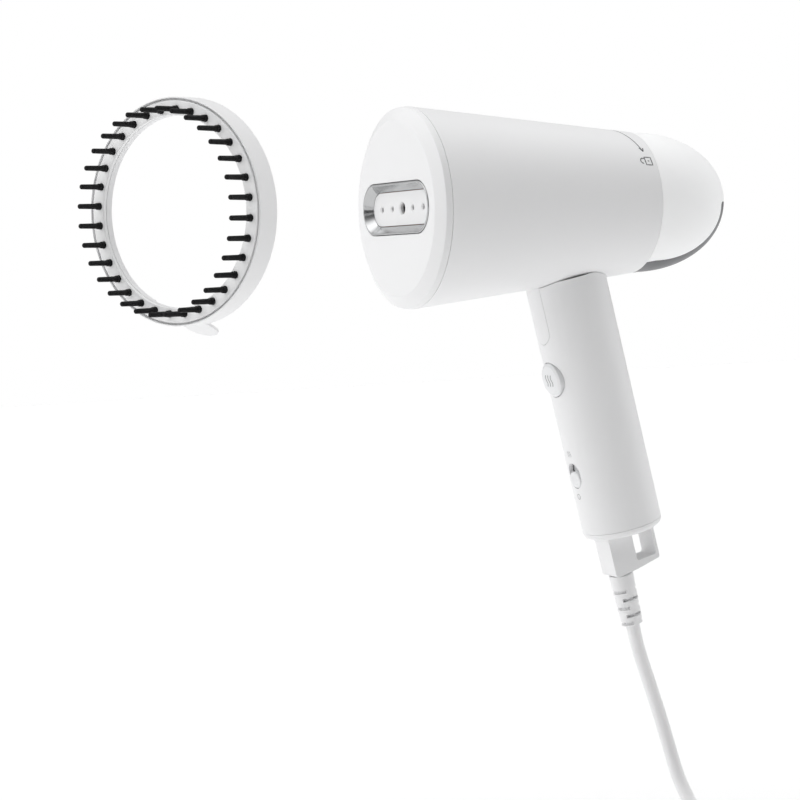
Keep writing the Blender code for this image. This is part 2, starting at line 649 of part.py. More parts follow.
tank_shell = lathe_back("tank_shell", dome(0) + dome(TANK_WALL)[::-1], material=CLEAR, steps=TANK_STEPS)


def trim_outline(grow):
    """The trim strip seen from behind: square-shouldered at mid height, narrow at the seam."""
    shoulder = TRIM_HALF_WIDTH + grow
    foot = TRIM_FOOT_HALF_WIDTH + grow
    return [(-shoulder, -0.0010 + grow), (-foot, -0.060), (foot, -0.060), (shoulder, -0.0010 + grow)]


trim_recess = lathe_back("trim_recess_layer", [(radius + 0.002, behind + 0.002 * (behind > dome_start))
                                               for radius, behind in dome(0)][:-1]
                         + [(0, dome_start + DOME_LENGTH + 0.002)] + dome(TRIM_THICK + GAP)[::-1],
                         steps=TANK_STEPS, cutter=True)
keep_inside(trim_recess, slab("trim_recess_outline", trim_outline(GAP), -0.200, -0.100, HEAD, cutter=True))
cut(tank_shell, trim_recess)
tank_trim = lathe_back("tank_trim", dome(0) + dome(TRIM_THICK)[::-1], material=DARK, steps=TANK_STEPS)
keep_inside(tank_trim, slab("trim_outline", trim_outline(0), -0.200, -0.100, HEAD, cutter=True))

cap_front = tank_front + 0.0006
cap_back = cap_front + 0.0022
neck_bore = NECK_RADIUS - NECK_WALL
pickup_front = spigot_end + 0.0004     # the suction tube starts behind the spigot
boss_end = pickup_front + 0.0046
tank_cap = lathe_back("tank_cap", [
    (0.0034, neck_front), (NECK_RADIUS, neck_front), (NECK_RADIUS, cap_front),
    (casing_radius(cap_front) - TANK_WALL - GAP, cap_front),
    (casing_radius(cap_back) - TANK_WALL - GAP, cap_back),
    (neck_bore, cap_back), (neck_bore, neck_front + 0.0020), (0.0056, neck_front + 0.0020),
    (0.0056, boss_end), (0.0034, boss_end)], material=PALE, steps=36)
for side, middle in (("right", 0), ("left", 180)):
    join(tank_cap, slab(f"tank_lug_{side}", sector(NECK_RADIUS - 0.0012, lug_radius, middle - LUG_ANGLE / 2,
                                                   middle + LUG_ANGLE / 2),
                        -lug_back, -lug_front, HEAD, cutter=True))
suction_tube = tube("suction_tube", [
    (0, -drop, -pickup_front - back) for drop, back in
    ((0, 0), (0, 0.0086), (0.0015, 0.0111), (0.0050, 0.0136), (0.0230, 0.0186))], 0.0029, HEAD, CLEAR)
FILLER_RADIUS = 0.0045
filler_y = 0.0245
filler_hole = rod("filler_hole", (0, filler_y, -cap_back - 0.002), (0, filler_y, -cap_front + 0.002),
                  FILLER_RADIUS - 0.0015 + GAP, HEAD, sides=16, cutter=True)
cut(tank_cap, filler_hole)
filler_stopper = lathe_back("filler_stopper", [
    (0, cap_front - GAP), (FILLER_RADIUS - 0.0015, cap_front - GAP), (FILLER_RADIUS - 0.0015, cap_back + GAP),
    (FILLER_RADIUS, cap_back + GAP), (FILLER_RADIUS - 0.0012, cap_back + 0.0028), (0, cap_back + 0.0028)],
    material=SILICONE, centre=(0, filler_y), closed=False, steps=16)

# ---- Handle --------------------------------------------------------------------------------------
cap_top = HANDLE_END + END_CAP_HEIGHT
handle_shell = lathe("handle_shell", [
    (HANDLE_RADIUS, HANDLE_TOP), (HANDLE_RADIUS, cap_top + GAP), (HANDLE_BORE, cap_top + GAP),
    (HANDLE_BORE, HANDLE_TOP)], HANDLE, WHITE, steps=48)
saddle = lathe_back("casing_outside", [
    (0, 0), (casing_radius(0) + RUN_GAP, 0), (casing_radius(HEAD_LENGTH) + RUN_GAP, HEAD_LENGTH),
    (0, HEAD_LENGTH)], closed=False, cutter=True)
tongue_slot = slab("tongue_slot", [(-TONGUE_HALF_WIDTH - GAP, HANDLE_TOP + 0.002)]
                   + arc((0, TONGUE_FOOT + TONGUE_HALF_WIDTH), TONGUE_HALF_WIDTH + GAP, 180, 360, 12)
                   + [(TONGUE_HALF_WIDTH + GAP, HANDLE_TOP + 0.002)],
                   0.005, 0.030, HANDLE, cutter=True)
tongue_slot.rotation_euler = (math.radians(90), 0, 0)
cut(handle_shell, saddle,
    block("handle_top_trim", (-0.03, -0.03, 0.066), (0.03, 0.03, 0.090), HANDLE, cutter=True), tongue_slot,
    rod("button_hole", (0, -0.025, BUTTON_RISE), (0, -0.008, BUTTON_RISE), BUTTON_RADIUS + GAP, HANDLE,
        sides=32, cutter=True))
slot_cutter = slab("slider_slot", stadium(SLOT_WIDTH, SLOT_LENGTH, (0, -SLIDER_DROP)), 0.008, 0.025, HANDLE,
                   cutter=True)
slot_cutter.rotation_euler = (math.radians(90), 0, 0)
cut(handle_shell, slot_cutter)

end_fillet = 0.0030
lip_radius = HANDLE_BORE - GAP
handle_end_cap = lathe("handle_end_cap", [
    (lip_radius, cap_top + 0.0040), (lip_radius, cap_top), (HANDLE_RADIUS, cap_top)]
    + arc((HANDLE_RADIUS - end_fillet, HANDLE_END + end_fillet), end_fillet, 0, -90, 4)
    + [(0.0, HANDLE_END), (0.0, HANDLE_END + 0.0026), (lip_radius - 0.0016, HANDLE_END + 0.0026),
       (lip_radius - 0.0016, cap_top + 0.0040)], HANDLE, WHITE, steps=36)
CAP_SCREW_X = 0.0105
CAP_SCREW_Y = 0.0060
cap_seat = HANDLE_END + 0.0016
for side, x in (("left", -CAP_SCREW_X), ("right", CAP_SCREW_X)):
    cut(handle_end_cap,
        rod(f"cap_screw_hole_{side}", (x, CAP_SCREW_Y, HANDLE_END - 0.002), (x, CAP_SCREW_Y, cap_top),
            SCREW_RADIUS + GAP, HANDLE, sides=12, cutter=True),
        rod(f"cap_screw_sink_{side}", (x, CAP_SCREW_Y, HANDLE_END - 0.002), (x, CAP_SCREW_Y, cap_seat),
            SCREW_HEAD_RADIUS + GAP, HANDLE, sides=12, cutter=True))
    screw(f"cap_screw_{side}", x, CAP_SCREW_Y, cap_seat - GAP, 0.0120, HANDLE, upward=True)

CHASSIS_FRONT = 0.0050
CHASSIS_BACK = 0.0072
CHASSIS_EDGE = 0.0017   # between the chassis edge and the handle's bore


def bore_reach(offset):
    """Half the width of the handle's bore at a distance from its axis."""
    return math.sqrt(HANDLE_BORE ** 2 - offset ** 2)


chassis_half_width = bore_reach(CHASSIS_BACK) - CHASSIS_EDGE
chassis_foot = cap_top + 0.0043
handle_chassis = block("handle_chassis", (-chassis_half_width, CHASSIS_FRONT, chassis_foot),
                       (chassis_half_width, CHASSIS_BACK, 0.0400), HANDLE, PALE)
for side, x in (("left", -CAP_SCREW_X), ("right", CAP_SCREW_X)):
    join(handle_chassis, rod(f"chassis_boss_{side}", (x, CAP_SCREW_Y, chassis_foot),
                             (x, CAP_SCREW_Y, chassis_foot + 0.010), 0.0030, HANDLE, sides=16, cutter=True))
    cut(handle_chassis, rod(f"boss_hole_{side}", (x, CAP_SCREW_Y, chassis_foot - 0.002),
                            (x, CAP_SCREW_Y, chassis_foot + 0.0085), SCREW_RADIUS + GAP, HANDLE, sides=12,
                            cutter=True))
board_back = CHASSIS_BACK + GAP + 0.0016
control_board = block("control_board", (-0.0090, CHASSIS_BACK + GAP, -0.0300), (0.0090, board_back, 0.0340),
                      HANDLE, BOARD)
triac = block("triac", (-0.0050, board_back + GAP, 0.0060), (0.0050, board_back + GAP + 0.0042, 0.0210),
              HANDLE, RUBBER)

# ---- Steam button, its switch and the slider ------------------------------------------------------
FLANGE_THICK = 0.0012
flange_radius = BUTTON_RADIUS + 0.0013
button_front = -HANDLE_RADIUS - 0.0002
flange_front = -bore_reach(flange_radius) + RUN_GAP
flange_back = flange_front + FLANGE_THICK
switch_front = -0.0040
stem_end = switch_front - BUTTON_TRAVEL - RUN_GAP - 0.0012


def lathe_front(name, profile, rise, material, steps=28):
    """Turn (radius, y) points about a line that looks out of the handle's front, front to back."""
    piece = lathe(name, [(radius, -y) for radius, y in profile], HANDLE, material, closed=False, steps=steps)
    piece.location = (0, 0, rise)
    piece.rotation_euler = (math.radians(90), 0, 0)
    return piece


steam_button = lathe_front("steam_button", [
    (0, button_front - 0.0012), (BUTTON_RADIUS * 0.5, button_front - 0.0010),
    (BUTTON_RADIUS * 0.85, button_front - 0.0004), (BUTTON_RADIUS, button_front + 0.0006),
    (BUTTON_RADIUS, flange_front), (flange_radius, flange_front), (flange_radius, flange_back),
     (0.0022, flange_back), (0.0022, stem_end), (0, stem_end)],
    BUTTON_RISE, WHITE)
PLUNGER_RADIUS = 0.0013
plunger_end = switch_front + 0.0020
rod("switch_plunger", (0, stem_end + GAP, BUTTON_RISE), (0, plunger_end, BUTTON_RISE), PLUNGER_RADIUS,
    HANDLE, BLACK, sides=12)
micro_switch = block("micro_switch", (-0.0050, switch_front, BUTTON_RISE - 0.0100),
                     (0.0050, CHASSIS_FRONT - GAP, BUTTON_RISE + 0.0100), HANDLE, DARK, 0.0005)
cut(micro_switch, rod("plunger_bore", (0, switch_front - 0.002, BUTTON_RISE),
                      (0, plunger_end + BUTTON_TRAVEL + RUN_GAP, BUTTON_RISE),
                      PLUNGER_RADIUS + GAP, HANDLE, sides=12, cutter=True))

slider_low = -SLIDER_DROP - SLIDER_TRAVEL / 2
knob_length = SLOT_LENGTH - SLIDER_TRAVEL - 2 * GAP
knob_width = SLOT_WIDTH - 2 * GAP
knob_front = HANDLE_RADIUS + 0.0002
runner_half_width = 0.0052
runner_front = bore_reach(runner_half_width) - RUN_GAP
runner_back = runner_front - 0.0012
mode_slider = slab("mode_slider", stadium(knob_width, knob_length, (0, slider_low)), runner_back, knob_front,
                   HANDLE, WHITE)
mode_slider.rotation_euler = (math.radians(90), 0, 0)
runner_half = knob_length / 2 + SLIDER_TRAVEL + 0.0008
LEVER_TOP = -0.0102
LEVER_HALF_WIDTH = 0.0020
LEVER_HALF_HEIGHT = 0.0015
join(mode_slider,
     block("slider_runner", (-runner_half_width, slider_low - runner_half, runner_back),
           (runner_half_width, slider_low + runner_half, runner_front), mode_slider, cutter=True),
     block("slider_lever", (-LEVER_HALF_WIDTH, slider_low - LEVER_HALF_HEIGHT, -LEVER_TOP),
           (LEVER_HALF_WIDTH, slider_low + LEVER_HALF_HEIGHT, runner_back + 0.0005), mode_slider,
           cutter=True))
slide_switch = block("slide_switch", (-0.0055, LEVER_TOP + RUN_GAP, -SLIDER_DROP - 0.0090),
                     (0.0055, CHASSIS_FRONT - GAP, -SLIDER_DROP + 0.0090), HANDLE, DARK, 0.0005)

# ---- Mains entry ---------------------------------------------------------------------------------
STEM_TOP = -0.0400
terminal_block = block("terminal_block", (-0.0070, -0.0020, chassis_foot + 0.0004),
                       (0.0070, CHASSIS_FRONT - GAP, -0.0370), HANDLE, WHITE, 0.0004)
cord_clamp = block("cord_clamp", (-0.0080, -0.0122, -0.0462), (0.0080, -0.0072, -0.0415), HANDLE, PALE)
cut(cord_clamp, rod("clamp_groove", (0, -CORD_FORWARD, -0.050), (0, -CORD_FORWARD, -0.038), STEM_RADIUS + GAP,
                    HANDLE, cutter=True))
stem_hole = rod("stem_hole", (0, -CORD_FORWARD, HANDLE_END - ANCHOR_HEIGHT - 0.004),
                (0, -CORD_FORWARD, STEM_TOP), STEM_RADIUS + GAP, HANDLE, cutter=True)
cut(handle_end_cap, stem_hole)
anchor_top = HANDLE_END - GAP
anchor_low = HANDLE_END - ANCHOR_HEIGHT
LOOP_RISE = 0.0028      # how much higher the anchor's rear foot is than its front foot
block_rear = 0.0002
cord_anchor = slab("cord_anchor", rounded([
    (-ANCHOR_FRONT, anchor_top), (-ANCHOR_FRONT, anchor_low), (-0.0010, anchor_low + 0.0008),
    (ANCHOR_REAR, anchor_low + LOOP_RISE), (ANCHOR_REAR, anchor_top)], 0.0008, 2),
    -ANCHOR_WIDTH / 2, ANCHOR_WIDTH / 2, HANDLE, WHITE, axis="X")
loop_hole = slab("loop_hole", rounded([
    (block_rear, anchor_top - 0.0016), (block_rear, anchor_low + 0.0045),
    (ANCHOR_REAR - ANCHOR_LOOP_WALL, anchor_low + LOOP_RISE + 0.0020),
    (ANCHOR_REAR - ANCHOR_LOOP_WALL, anchor_top - 0.0016)], 0.0014, 3),
    -0.02, 0.02, HANDLE, axis="X", cutter=True)
cut(cord_anchor, loop_hole, stem_hole)
relief_top = anchor_low - GAP
relief_end = relief_top - RELIEF_LENGTH
strain_relief = lathe("strain_relief", [
    (0, STEM_TOP), (STEM_RADIUS, STEM_TOP), (STEM_RADIUS, relief_top), (RELIEF_TOP_RADIUS, relief_top),
    (RELIEF_END_RADIUS, relief_end), (0, relief_end)], HANDLE, SHEATH, centre=(0, -CORD_FORWARD),
    closed=False, steps=28)

# ---- Wires inside --------------------------------------------------------------------------------
WIRE_RADIUS = 0.0009
for side, way in (("left", -1), ("right", 1)):
    heater_end = HEAD.matrix_world @ Vector((way * HEATER_HALF_SPAN, HEATER_RISE, -boiler_back - 0.0075))
    switch_top = handle_to_world(way * 0.0030, 0.0000, BUTTON_RISE + 0.0103)
    neck = handle_to_world(way * 0.0060, -0.0020, neck_z + 0.004)
    beside_pump = Vector((way * 0.0215, neck.y - 0.018, HEAD_RISE - 0.006))
    past_neck = neck.lerp(beside_pump, 0.5) + Vector((way * 0.003, 0.004, 0))
    route = [switch_top, switch_top.lerp(neck, 0.5), neck, past_neck, beside_pump,
             beside_pump.lerp(heater_end, 0.5), heater_end]
    tube(f"heater_wire_{side}", route, WIRE_RADIUS, None, COPPER, 1)

# ---- Brush ring ----------------------------------------------------------------------------------
ring_bore = BAND_RADIUS + RIM_CLEARANCE - 0.0003
ring_radius = ring_bore + RING_WALL
PLATE_GROOVE = 0.0004
BRUSH_PLATE_THICK = 0.0016
plate_radius = ring_radius - 0.0010
plate_seat = RING_FRONT - BRUSH_PLATE_THICK - GAP
lip_end = FACE_STAND + RUN_GAP


def ring_lathe(name, profile, **options):
    """Turn (radius, forward of the rim) points about the ring's own axis."""
    return lathe(name, profile, BRUSH, centre=(BRUSH_X, 0), **options)


ring_back = -RING_GRIP
STRIP_THICK = 0.0014
seat_low = plate_seat - STRIP_THICK - GAP
brush_ring = ring_lathe("brush_ring", [
    (ring_radius, RING_FRONT), (ring_radius, ring_back), (ring_bore, ring_back),
    (ring_bore, seat_low - 0.0012), (RING_OPENING + 0.0011, seat_low - 0.0012),
    (RING_OPENING + 0.0011, lip_end), (RING_OPENING, lip_end), (RING_OPENING, plate_seat),
    (BRISTLE_CIRCLE - 0.0018, plate_seat), (BRISTLE_CIRCLE - 0.0018, seat_low),
    (BRISTLE_CIRCLE + 0.0018, seat_low), (BRISTLE_CIRCLE + 0.0018, plate_seat),
    (plate_radius + PLATE_GROOVE, plate_seat), (plate_radius + PLATE_GROOVE, RING_FRONT)],
    material=WHITE)
TAB_HALF_WIDTH = 0.0072
TAB_LENGTH = 0.0125
TAB_THICK = 0.0013
tab = slab("tab_blank", [(-TAB_HALF_WIDTH, 0.004)]
           + arc((0, -TAB_LENGTH + TAB_HALF_WIDTH), TAB_HALF_WIDTH, 180, 360, 10) + [(TAB_HALF_WIDTH, 0.004)],
           -TAB_THICK, 0, BRUSH, cutter=True)
tab.rotation_euler = (math.radians(90 - 25), 0, 0)
tab.location = (BRUSH_X, -ring_bore - 0.0009, ring_back + 0.0015)
join(brush_ring, tab)
cut(brush_ring, block("lip_notch", (BRUSH_X - 0.0160, -0.0410, lip_end - 0.001),
                      (BRUSH_X + 0.0160, -0.0300, lip_end + 0.0026), BRUSH, cutter=True))
brush_plate = ring_lathe("brush_plate", [
    (plate_radius, RING_FRONT), (plate_radius, plate_seat + GAP), (RING_OPENING, plate_seat + GAP),
    (RING_OPENING, RING_FRONT)], material=PALE)
bristle_strip = ring_lathe("bristle_strip", [
    (BRISTLE_CIRCLE + 0.0015, plate_seat - GAP / 2), (BRISTLE_CIRCLE + 0.0015, plate_seat - STRIP_THICK),
    (BRISTLE_CIRCLE - 0.0015, plate_seat - STRIP_THICK), (BRISTLE_CIRCLE - 0.0015, plate_seat - GAP / 2)],
    material=BLACK)
ROOT_RADIUS = 0.0013


def pins(name, stages):
    """All the bristles as one mesh of round bars, each (start, end, radius, end radius, sides)."""
    made = bmesh.new()
    for number in range(BRISTLES):
        angle = math.radians(360 * (number + 0.5) / BRISTLES)
        foot = Vector((BRUSH_X + BRISTLE_CIRCLE * math.cos(angle), BRISTLE_CIRCLE * math.sin(angle), 0))
        for start, end, radius, end_radius, sides in stages:
            bar = bmesh.ops.create_cone(made, cap_ends=True, segments=sides, radius1=radius,
                                        radius2=end_radius, depth=end - start)
            bmesh.ops.translate(made, vec=foot + Vector((0, 0, (start + end) / 2)), verts=bar["verts"])
    mesh = bpy.data.meshes.new(name)
    made.to_mesh(mesh)
    made.free()
    return put(name, mesh, BRUSH, None, cutter=True)


cut(brush_plate, pins("plate_holes", [(plate_seat - 0.002, RING_FRONT + 0.002, ROOT_RADIUS + GAP,
                                       ROOT_RADIUS + GAP, 6)]))
join(bristle_strip, pins("bristle_bars", [
    (plate_seat - STRIP_THICK / 2, RING_FRONT + BRISTLE_LENGTH, ROOT_RADIUS, BRISTLE_RADIUS, 6)]))

# ---- Cord, its coil, tie and plug ----------------------------------------------------------------
relief_tip = handle_to_world(0, -CORD_FORWARD, relief_end - GAP)
coil_low = FLOOR + TIE_THICK + 2 * GAP
coil_half = COIL_COLUMNS * CORD_RADIUS
coil_top = coil_low - FLOOR + COIL_ROWS * CORD_PITCH
coil_outer = COIL_TURN_RADIUS + coil_half
coil_inner = COIL_TURN_RADIUS - coil_half
lane = COIL_CENTRE[1] + coil_outer - CORD_RADIUS
LEAD_POINTS = [tuple(relief_tip), (0.0000, 0.0185, -0.1100), (0.0001, 0.0240, -0.1270),
               (0.0004, 0.0290, -0.1430), (0.0013, 0.0328, -0.1575), (0.0038, 0.0353, -0.1700),
               (0.0092, 0.0368, -0.1794), (0.0160, 0.0375, -0.1861), (0.0240, lane, -0.1898)]


def smooth_route(points, spacing):
    """Points at even spacing along a Catmull-Rom curve through the given ones."""
    points = [Vector(p) for p in points]
    ends = [points[0] * 2 - points[1]] + points + [points[-1] * 2 - points[-2]]
    fine = []
    for i in range(1, len(ends) - 2):
        a, b, c, d = ends[i - 1:i + 3]
        for step in range(16):
            t = step / 16
            fine.append(0.5 * ((2 * b) + (c - a) * t + (2 * a - 5 * b + 4 * c - d) * t * t
                               + (3 * b - a - 3 * c + d) * t ** 3))
    fine.append(points[-1])
    total = sum((fine[i + 1] - fine[i]).length for i in range(len(fine) - 1))
    count = max(2, round(total / spacing))
    even, gone, at = [fine[0]], 0.0, 0
    for number in range(1, count):
        want = total * number / count
        while gone + (fine[at + 1] - fine[at]).length < want:
            gone += (fine[at + 1] - fine[at]).length
            at += 1
        even.append(fine[at].lerp(fine[at + 1], (want - gone) / (fine[at + 1] - fine[at]).length))
    return even + [fine[-1]]


cord_lead = tube("cord_lead", smooth_route(LEAD_POINTS, 2.5 * CORD_PITCH), CORD_RADIUS, None, SHEATH)
cord_coil = lathe("cord_coil", [
    (coil_outer, coil_top), (coil_outer, coil_low - FLOOR), (coil_inner, coil_low - FLOOR),
    (coil_inner, coil_top)], GROUND, SHEATH, centre=COIL_CENTRE, steps=40)
tie_reach = GAP + TIE_THICK + 0.0004
cord_tie = block("cord_tie", (coil_inner - tie_reach, -TIE_WIDTH / 2, GAP),
                 (coil_outer + tie_reach, TIE_WIDTH / 2, coil_top + GAP + TIE_THICK), GROUND, DARK)
cord_tie.location = (*COIL_CENTRE, 0)
cord_tie.rotation_euler = (0, 0, math.radians(TIE_ANGLE))
cut(cord_tie, lathe("tie_space", [
    (coil_outer + GAP, coil_top + GAP), (coil_outer + GAP, coil_low - FLOOR - GAP),
    (coil_inner - GAP, coil_low - FLOOR - GAP), (coil_inner - GAP, coil_top + GAP)],
    GROUND, centre=COIL_CENTRE, steps=40, cutter=True))

plug_x, plug_y = PLUG_PLACE
plug_side = PLUG_WIDTH / 2
plug_nose = plug_side - 0.0020
plug_neck = 0.0070
plug_waist = plug_y - PLUG_LENGTH * 0.55
plug_face = plug_y - PLUG_LENGTH
plug_middle = PLUG_HEIGHT / 2
GUARD_REACH = 0.0220    # bend guard, from the plug's shoulder
PIN_ROOT = 0.0060       # how deep a pin is moulded into the plug
plug_body = slab("plug_body", rounded([
    (plug_x - plug_side, plug_y), (plug_x - plug_side, plug_waist), (plug_x - plug_nose, plug_face),
    (plug_x + plug_nose, plug_face), (plug_x + plug_side, plug_waist), (plug_x + plug_side, plug_y),
    (plug_x + plug_neck, plug_y + 0.006), (plug_x - plug_neck, plug_y + 0.006)], 0.0014, 2),
    GAP, PLUG_HEIGHT, GROUND, WHITE)
join(plug_body, rod("plug_guard", (plug_x, plug_y + 0.002, plug_middle),
                    (plug_x, plug_y + GUARD_REACH, plug_middle), 0.0056, GROUND, end_radius=0.0043,
                    cutter=True))
for side, way in (("left", -1), ("right", 1)):
    x = plug_x + way * PIN_PITCH / 2
    pin_root = (x, plug_face + PIN_ROOT, plug_middle)
    pin_tip = (x, plug_face - PIN_LENGTH, plug_middle)
    bore_root = (x, plug_face + PIN_ROOT + GAP, plug_middle)
    rod(f"plug_pin_{side}", pin_root, pin_tip, PIN_RADIUS, GROUND, BRASS, sides=16)
    cut(plug_body, rod(f"pin_bore_{side}", bore_root, pin_tip, PIN_RADIUS + GAP, GROUND, sides=16,
                       cutter=True))
tail_end = (plug_x, plug_y + GUARD_REACH + GAP, FLOOR + plug_middle)
TAIL_POINTS = [(0.0962, -0.0355, -0.1866), (0.0948, -0.0450, -0.1886), (0.0908, -0.0550, -0.1909),
               (0.0845, -0.0640, -0.1923), (0.0778, -0.0720, -0.1922), (0.0747, -0.0800, -0.1908),
               (plug_x, -0.0870, -0.1897), tail_end]
cord_tail = tube("cord_tail", smooth_route(TAIL_POINTS, 2 * CORD_PITCH), CORD_RADIUS, None, SHEATH)
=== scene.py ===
"""Handheld garment steamer with a clip-on bristle ring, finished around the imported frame.

Lengths are metres. The origin is the middle of the hand grip, +Z is up and the steam face looks
along -Y. Each section makes one piece or one group of like pieces.
"""
import json
import math

import bmesh
import bpy
from mathutils import Matrix, Quaternion, Vector


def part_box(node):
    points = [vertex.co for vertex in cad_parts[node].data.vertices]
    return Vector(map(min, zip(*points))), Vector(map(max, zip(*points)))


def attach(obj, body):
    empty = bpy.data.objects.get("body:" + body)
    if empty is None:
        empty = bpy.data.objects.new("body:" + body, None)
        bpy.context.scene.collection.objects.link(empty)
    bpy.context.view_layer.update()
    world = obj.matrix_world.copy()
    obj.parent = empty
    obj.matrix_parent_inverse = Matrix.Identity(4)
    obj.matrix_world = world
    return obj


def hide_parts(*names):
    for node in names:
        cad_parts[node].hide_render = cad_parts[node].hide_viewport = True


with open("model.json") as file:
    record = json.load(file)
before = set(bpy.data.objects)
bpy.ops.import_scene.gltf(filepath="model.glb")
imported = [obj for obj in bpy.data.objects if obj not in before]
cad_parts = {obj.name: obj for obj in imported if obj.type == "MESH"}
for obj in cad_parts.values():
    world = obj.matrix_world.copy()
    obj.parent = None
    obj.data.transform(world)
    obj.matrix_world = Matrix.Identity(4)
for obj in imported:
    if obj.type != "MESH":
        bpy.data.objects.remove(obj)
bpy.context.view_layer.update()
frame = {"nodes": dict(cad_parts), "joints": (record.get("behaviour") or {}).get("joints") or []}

# ---- Studio --------------------------------------------------------------------------------------
# One camera beside the hand grip, looking at the steamer's side from a little ahead of its steam
# face, a plain pale floor under the coiled cord, and a soft white room, brighter overhead and along
# the head, dimmer at both sides.
GAP = 0.0003                                # play between pieces that meet
CAMERA_PLACE = (0.94878, -0.55105, 0.0713)
LENS_LENGTH, SENSOR_WIDTH = 108, 36         # millimetres
VIEW_AZIMUTH = 64.53
VIEW_ELEVATION = 3.19
VIEW_ROLL = -2.07
FLOOR_SIDE = 8.0
FLOOR_PALE = (0.80, 0.80, 0.80)
floor_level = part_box("plug_body")[0].z - GAP
camera = bpy.data.objects.new("camera", bpy.data.cameras.new("camera"))
bpy.context.scene.collection.objects.link(camera)
bpy.context.scene.camera = camera
camera.data.lens = LENS_LENGTH
camera.data.sensor_width = SENSOR_WIDTH
camera.data.clip_end = 50
camera.location = CAMERA_PLACE
azimuth, elevation = math.radians(VIEW_AZIMUTH), math.radians(VIEW_ELEVATION)
to_camera = Vector((math.sin(azimuth) * math.cos(elevation), -math.cos(azimuth) * math.cos(elevation),
                    math.sin(elevation)))
camera.rotation_mode = "QUATERNION"
camera.rotation_quaternion = ((-to_camera).to_track_quat("-Z", "Y")
                              @ Quaternion((0, 0, 1), math.radians(VIEW_ROLL)))
bpy.context.scene.view_settings.view_transform = "Standard"


class Wire:
    """A value, colour or vector in the material being made, on which Python's operators add nodes."""

    tree = None

    def __init__(self, socket):
        self.socket = socket

    @classmethod
    def node(cls, kind, sockets, output=0, **settings):
        """Add a node, set its settings and then its sockets, and give one of its outputs."""
        made = cls.tree.nodes.new("ShaderNode" + kind)
        for name, value in settings.items():
            setattr(made, name, value)
        for name, value in sockets.items():
            if isinstance(value, Wire):
                cls.tree.links.new(value.socket, made.inputs[name])
            else:
                made.inputs[name].default_value = value
        return cls(made.outputs[output])

    def __add__(self, other):
        return Wire.node("Math", {0: self, 1: other}, operation="ADD")

    def __sub__(self, other):
        return Wire.node("Math", {0: self, 1: other}, operation="SUBTRACT")

    def __mul__(self, other):
        return Wire.node("Math", {0: self, 1: other}, operation="MULTIPLY")

    def __rsub__(self, other):
        return Wire.node("Math", {0: other, 1: self}, operation="SUBTRACT")

    __radd__ = __add__
    __rmul__ = __mul__

    def dot(self, direction):
        """How far a vector points along a direction."""
        return Wire.node("VectorMath", {0: self, 1: direction}, output=1, operation="DOT_PRODUCT")

    def rise(self, low, high):
        """0 below one level, 1 above the other, and smooth between them."""
        return Wire.node("MapRange", {"Value": self, "From Min": low, "From Max": high},
                         interpolation_type="SMOOTHSTEP")

    def between(self, first, second):
        """A colour that goes from the first to the second as this value goes from 0 to 1."""
        return Wire.node("Mix", {0: self, 6: (*first, 1), 7: (*second, 1)}, output=2, data_type="RGBA")


room = bpy.data.worlds.new("room")
room.use_nodes = True
bpy.context.scene.world = room
Wire.tree = room.node_tree
looking = Wire.node("TexCoord", {})
overhead = looking.dot((0, 0, 1)).rise(0.55, 0.98)
ahead = looking.dot((-0.35, -0.93, 0.10)).rise(0.50, 0.95)
behind = looking.dot((0.10, 0.99, 0.05)).rise(0.72, 0.97)
beside = looking.dot((0.975, -0.10, -0.05)).rise(-0.05, 0.80)
beyond = looking.dot((-0.90, 0.43, -0.05)).rise(0.05, 0.85)
slit = looking.dot((-0.90, 0.07, 0.43)).rise(0.93, 0.98)
seen = Wire.node("LightPath", {})           # the camera sees the room plain white
light = seen + (1 - seen) * (1 - slit * 0.7) * (
    0.98 + overhead * 1.15 + ahead * 0.62 + behind * 0.55 - beside * 0.98 - beyond * 0.62)
Wire.tree.links.new(light.socket, Wire.tree.nodes["Background"].inputs["Strength"])
Wire.tree.nodes["Background"].inputs["Color"].default_value = (1, 1, 1, 1)


def begin(name):
    """Start a material, so that the next wires go into it."""
    if name in bpy.data.materials:
        bpy.data.materials[name].name = "plain_" + name     # the frame's own
    made = bpy.data.materials.new(name)
    made.use_nodes = True
    Wire.tree = made.node_tree
    return made


def shade(made, **sockets):
    """Set or link sockets of the material's Principled shader."""
    shader = made.node_tree.nodes["Principled BSDF"]
    for name, value in sockets.items():
        socket = shader.inputs[name.replace("_", " ")]
        if isinstance(value, Wire):
            made.node_tree.links.new(value.socket, socket)
        else:
            socket.default_value = value
    return made


def noise(scale, detail=2.0, stretch=(1, 1, 1)):
    """A cloudy pattern with a number of clouds to the metre, stretched along an axis if asked."""
    where = Wire.node("Mapping", {"Vector": Wire.node("TexCoord", {}, output=3), "Scale": stretch})
    return Wire.node("TexNoise", {"Vector": where, "Scale": scale, "Detail": detail})


def bump(height, strength, depth):
    """A surface that a pattern raises and lowers by up to a depth."""
    return Wire.node("Bump", {"Height": height, "Strength": strength, "Distance": depth})


def tint(colour, share):
    """A colour with its brightness multiplied."""
    return tuple(part * share for part in colour)


floor_mesh = bmesh.new()
bmesh.ops.create_grid(floor_mesh, x_segments=2, y_segments=2, size=FLOOR_SIDE / 2)
bmesh.ops.translate(floor_mesh, vec=(0, 0, floor_level), verts=floor_mesh.verts)
floor = bpy.data.objects.new("floor", bpy.data.meshes.new("floor"))
floor_mesh.to_mesh(floor.data)
floor_mesh.free()
bpy.context.scene.collection.objects.link(floor)
floor_paint = begin("floor_paint")
floor.data.materials.append(shade(
    floor_paint, Base_Color=noise(3.0).between(tint(FLOOR_PALE, 0.99), FLOOR_PALE), Roughness=0.8,
    Emission_Color=(1, 1, 1, 1), Emission_Strength=0.12))

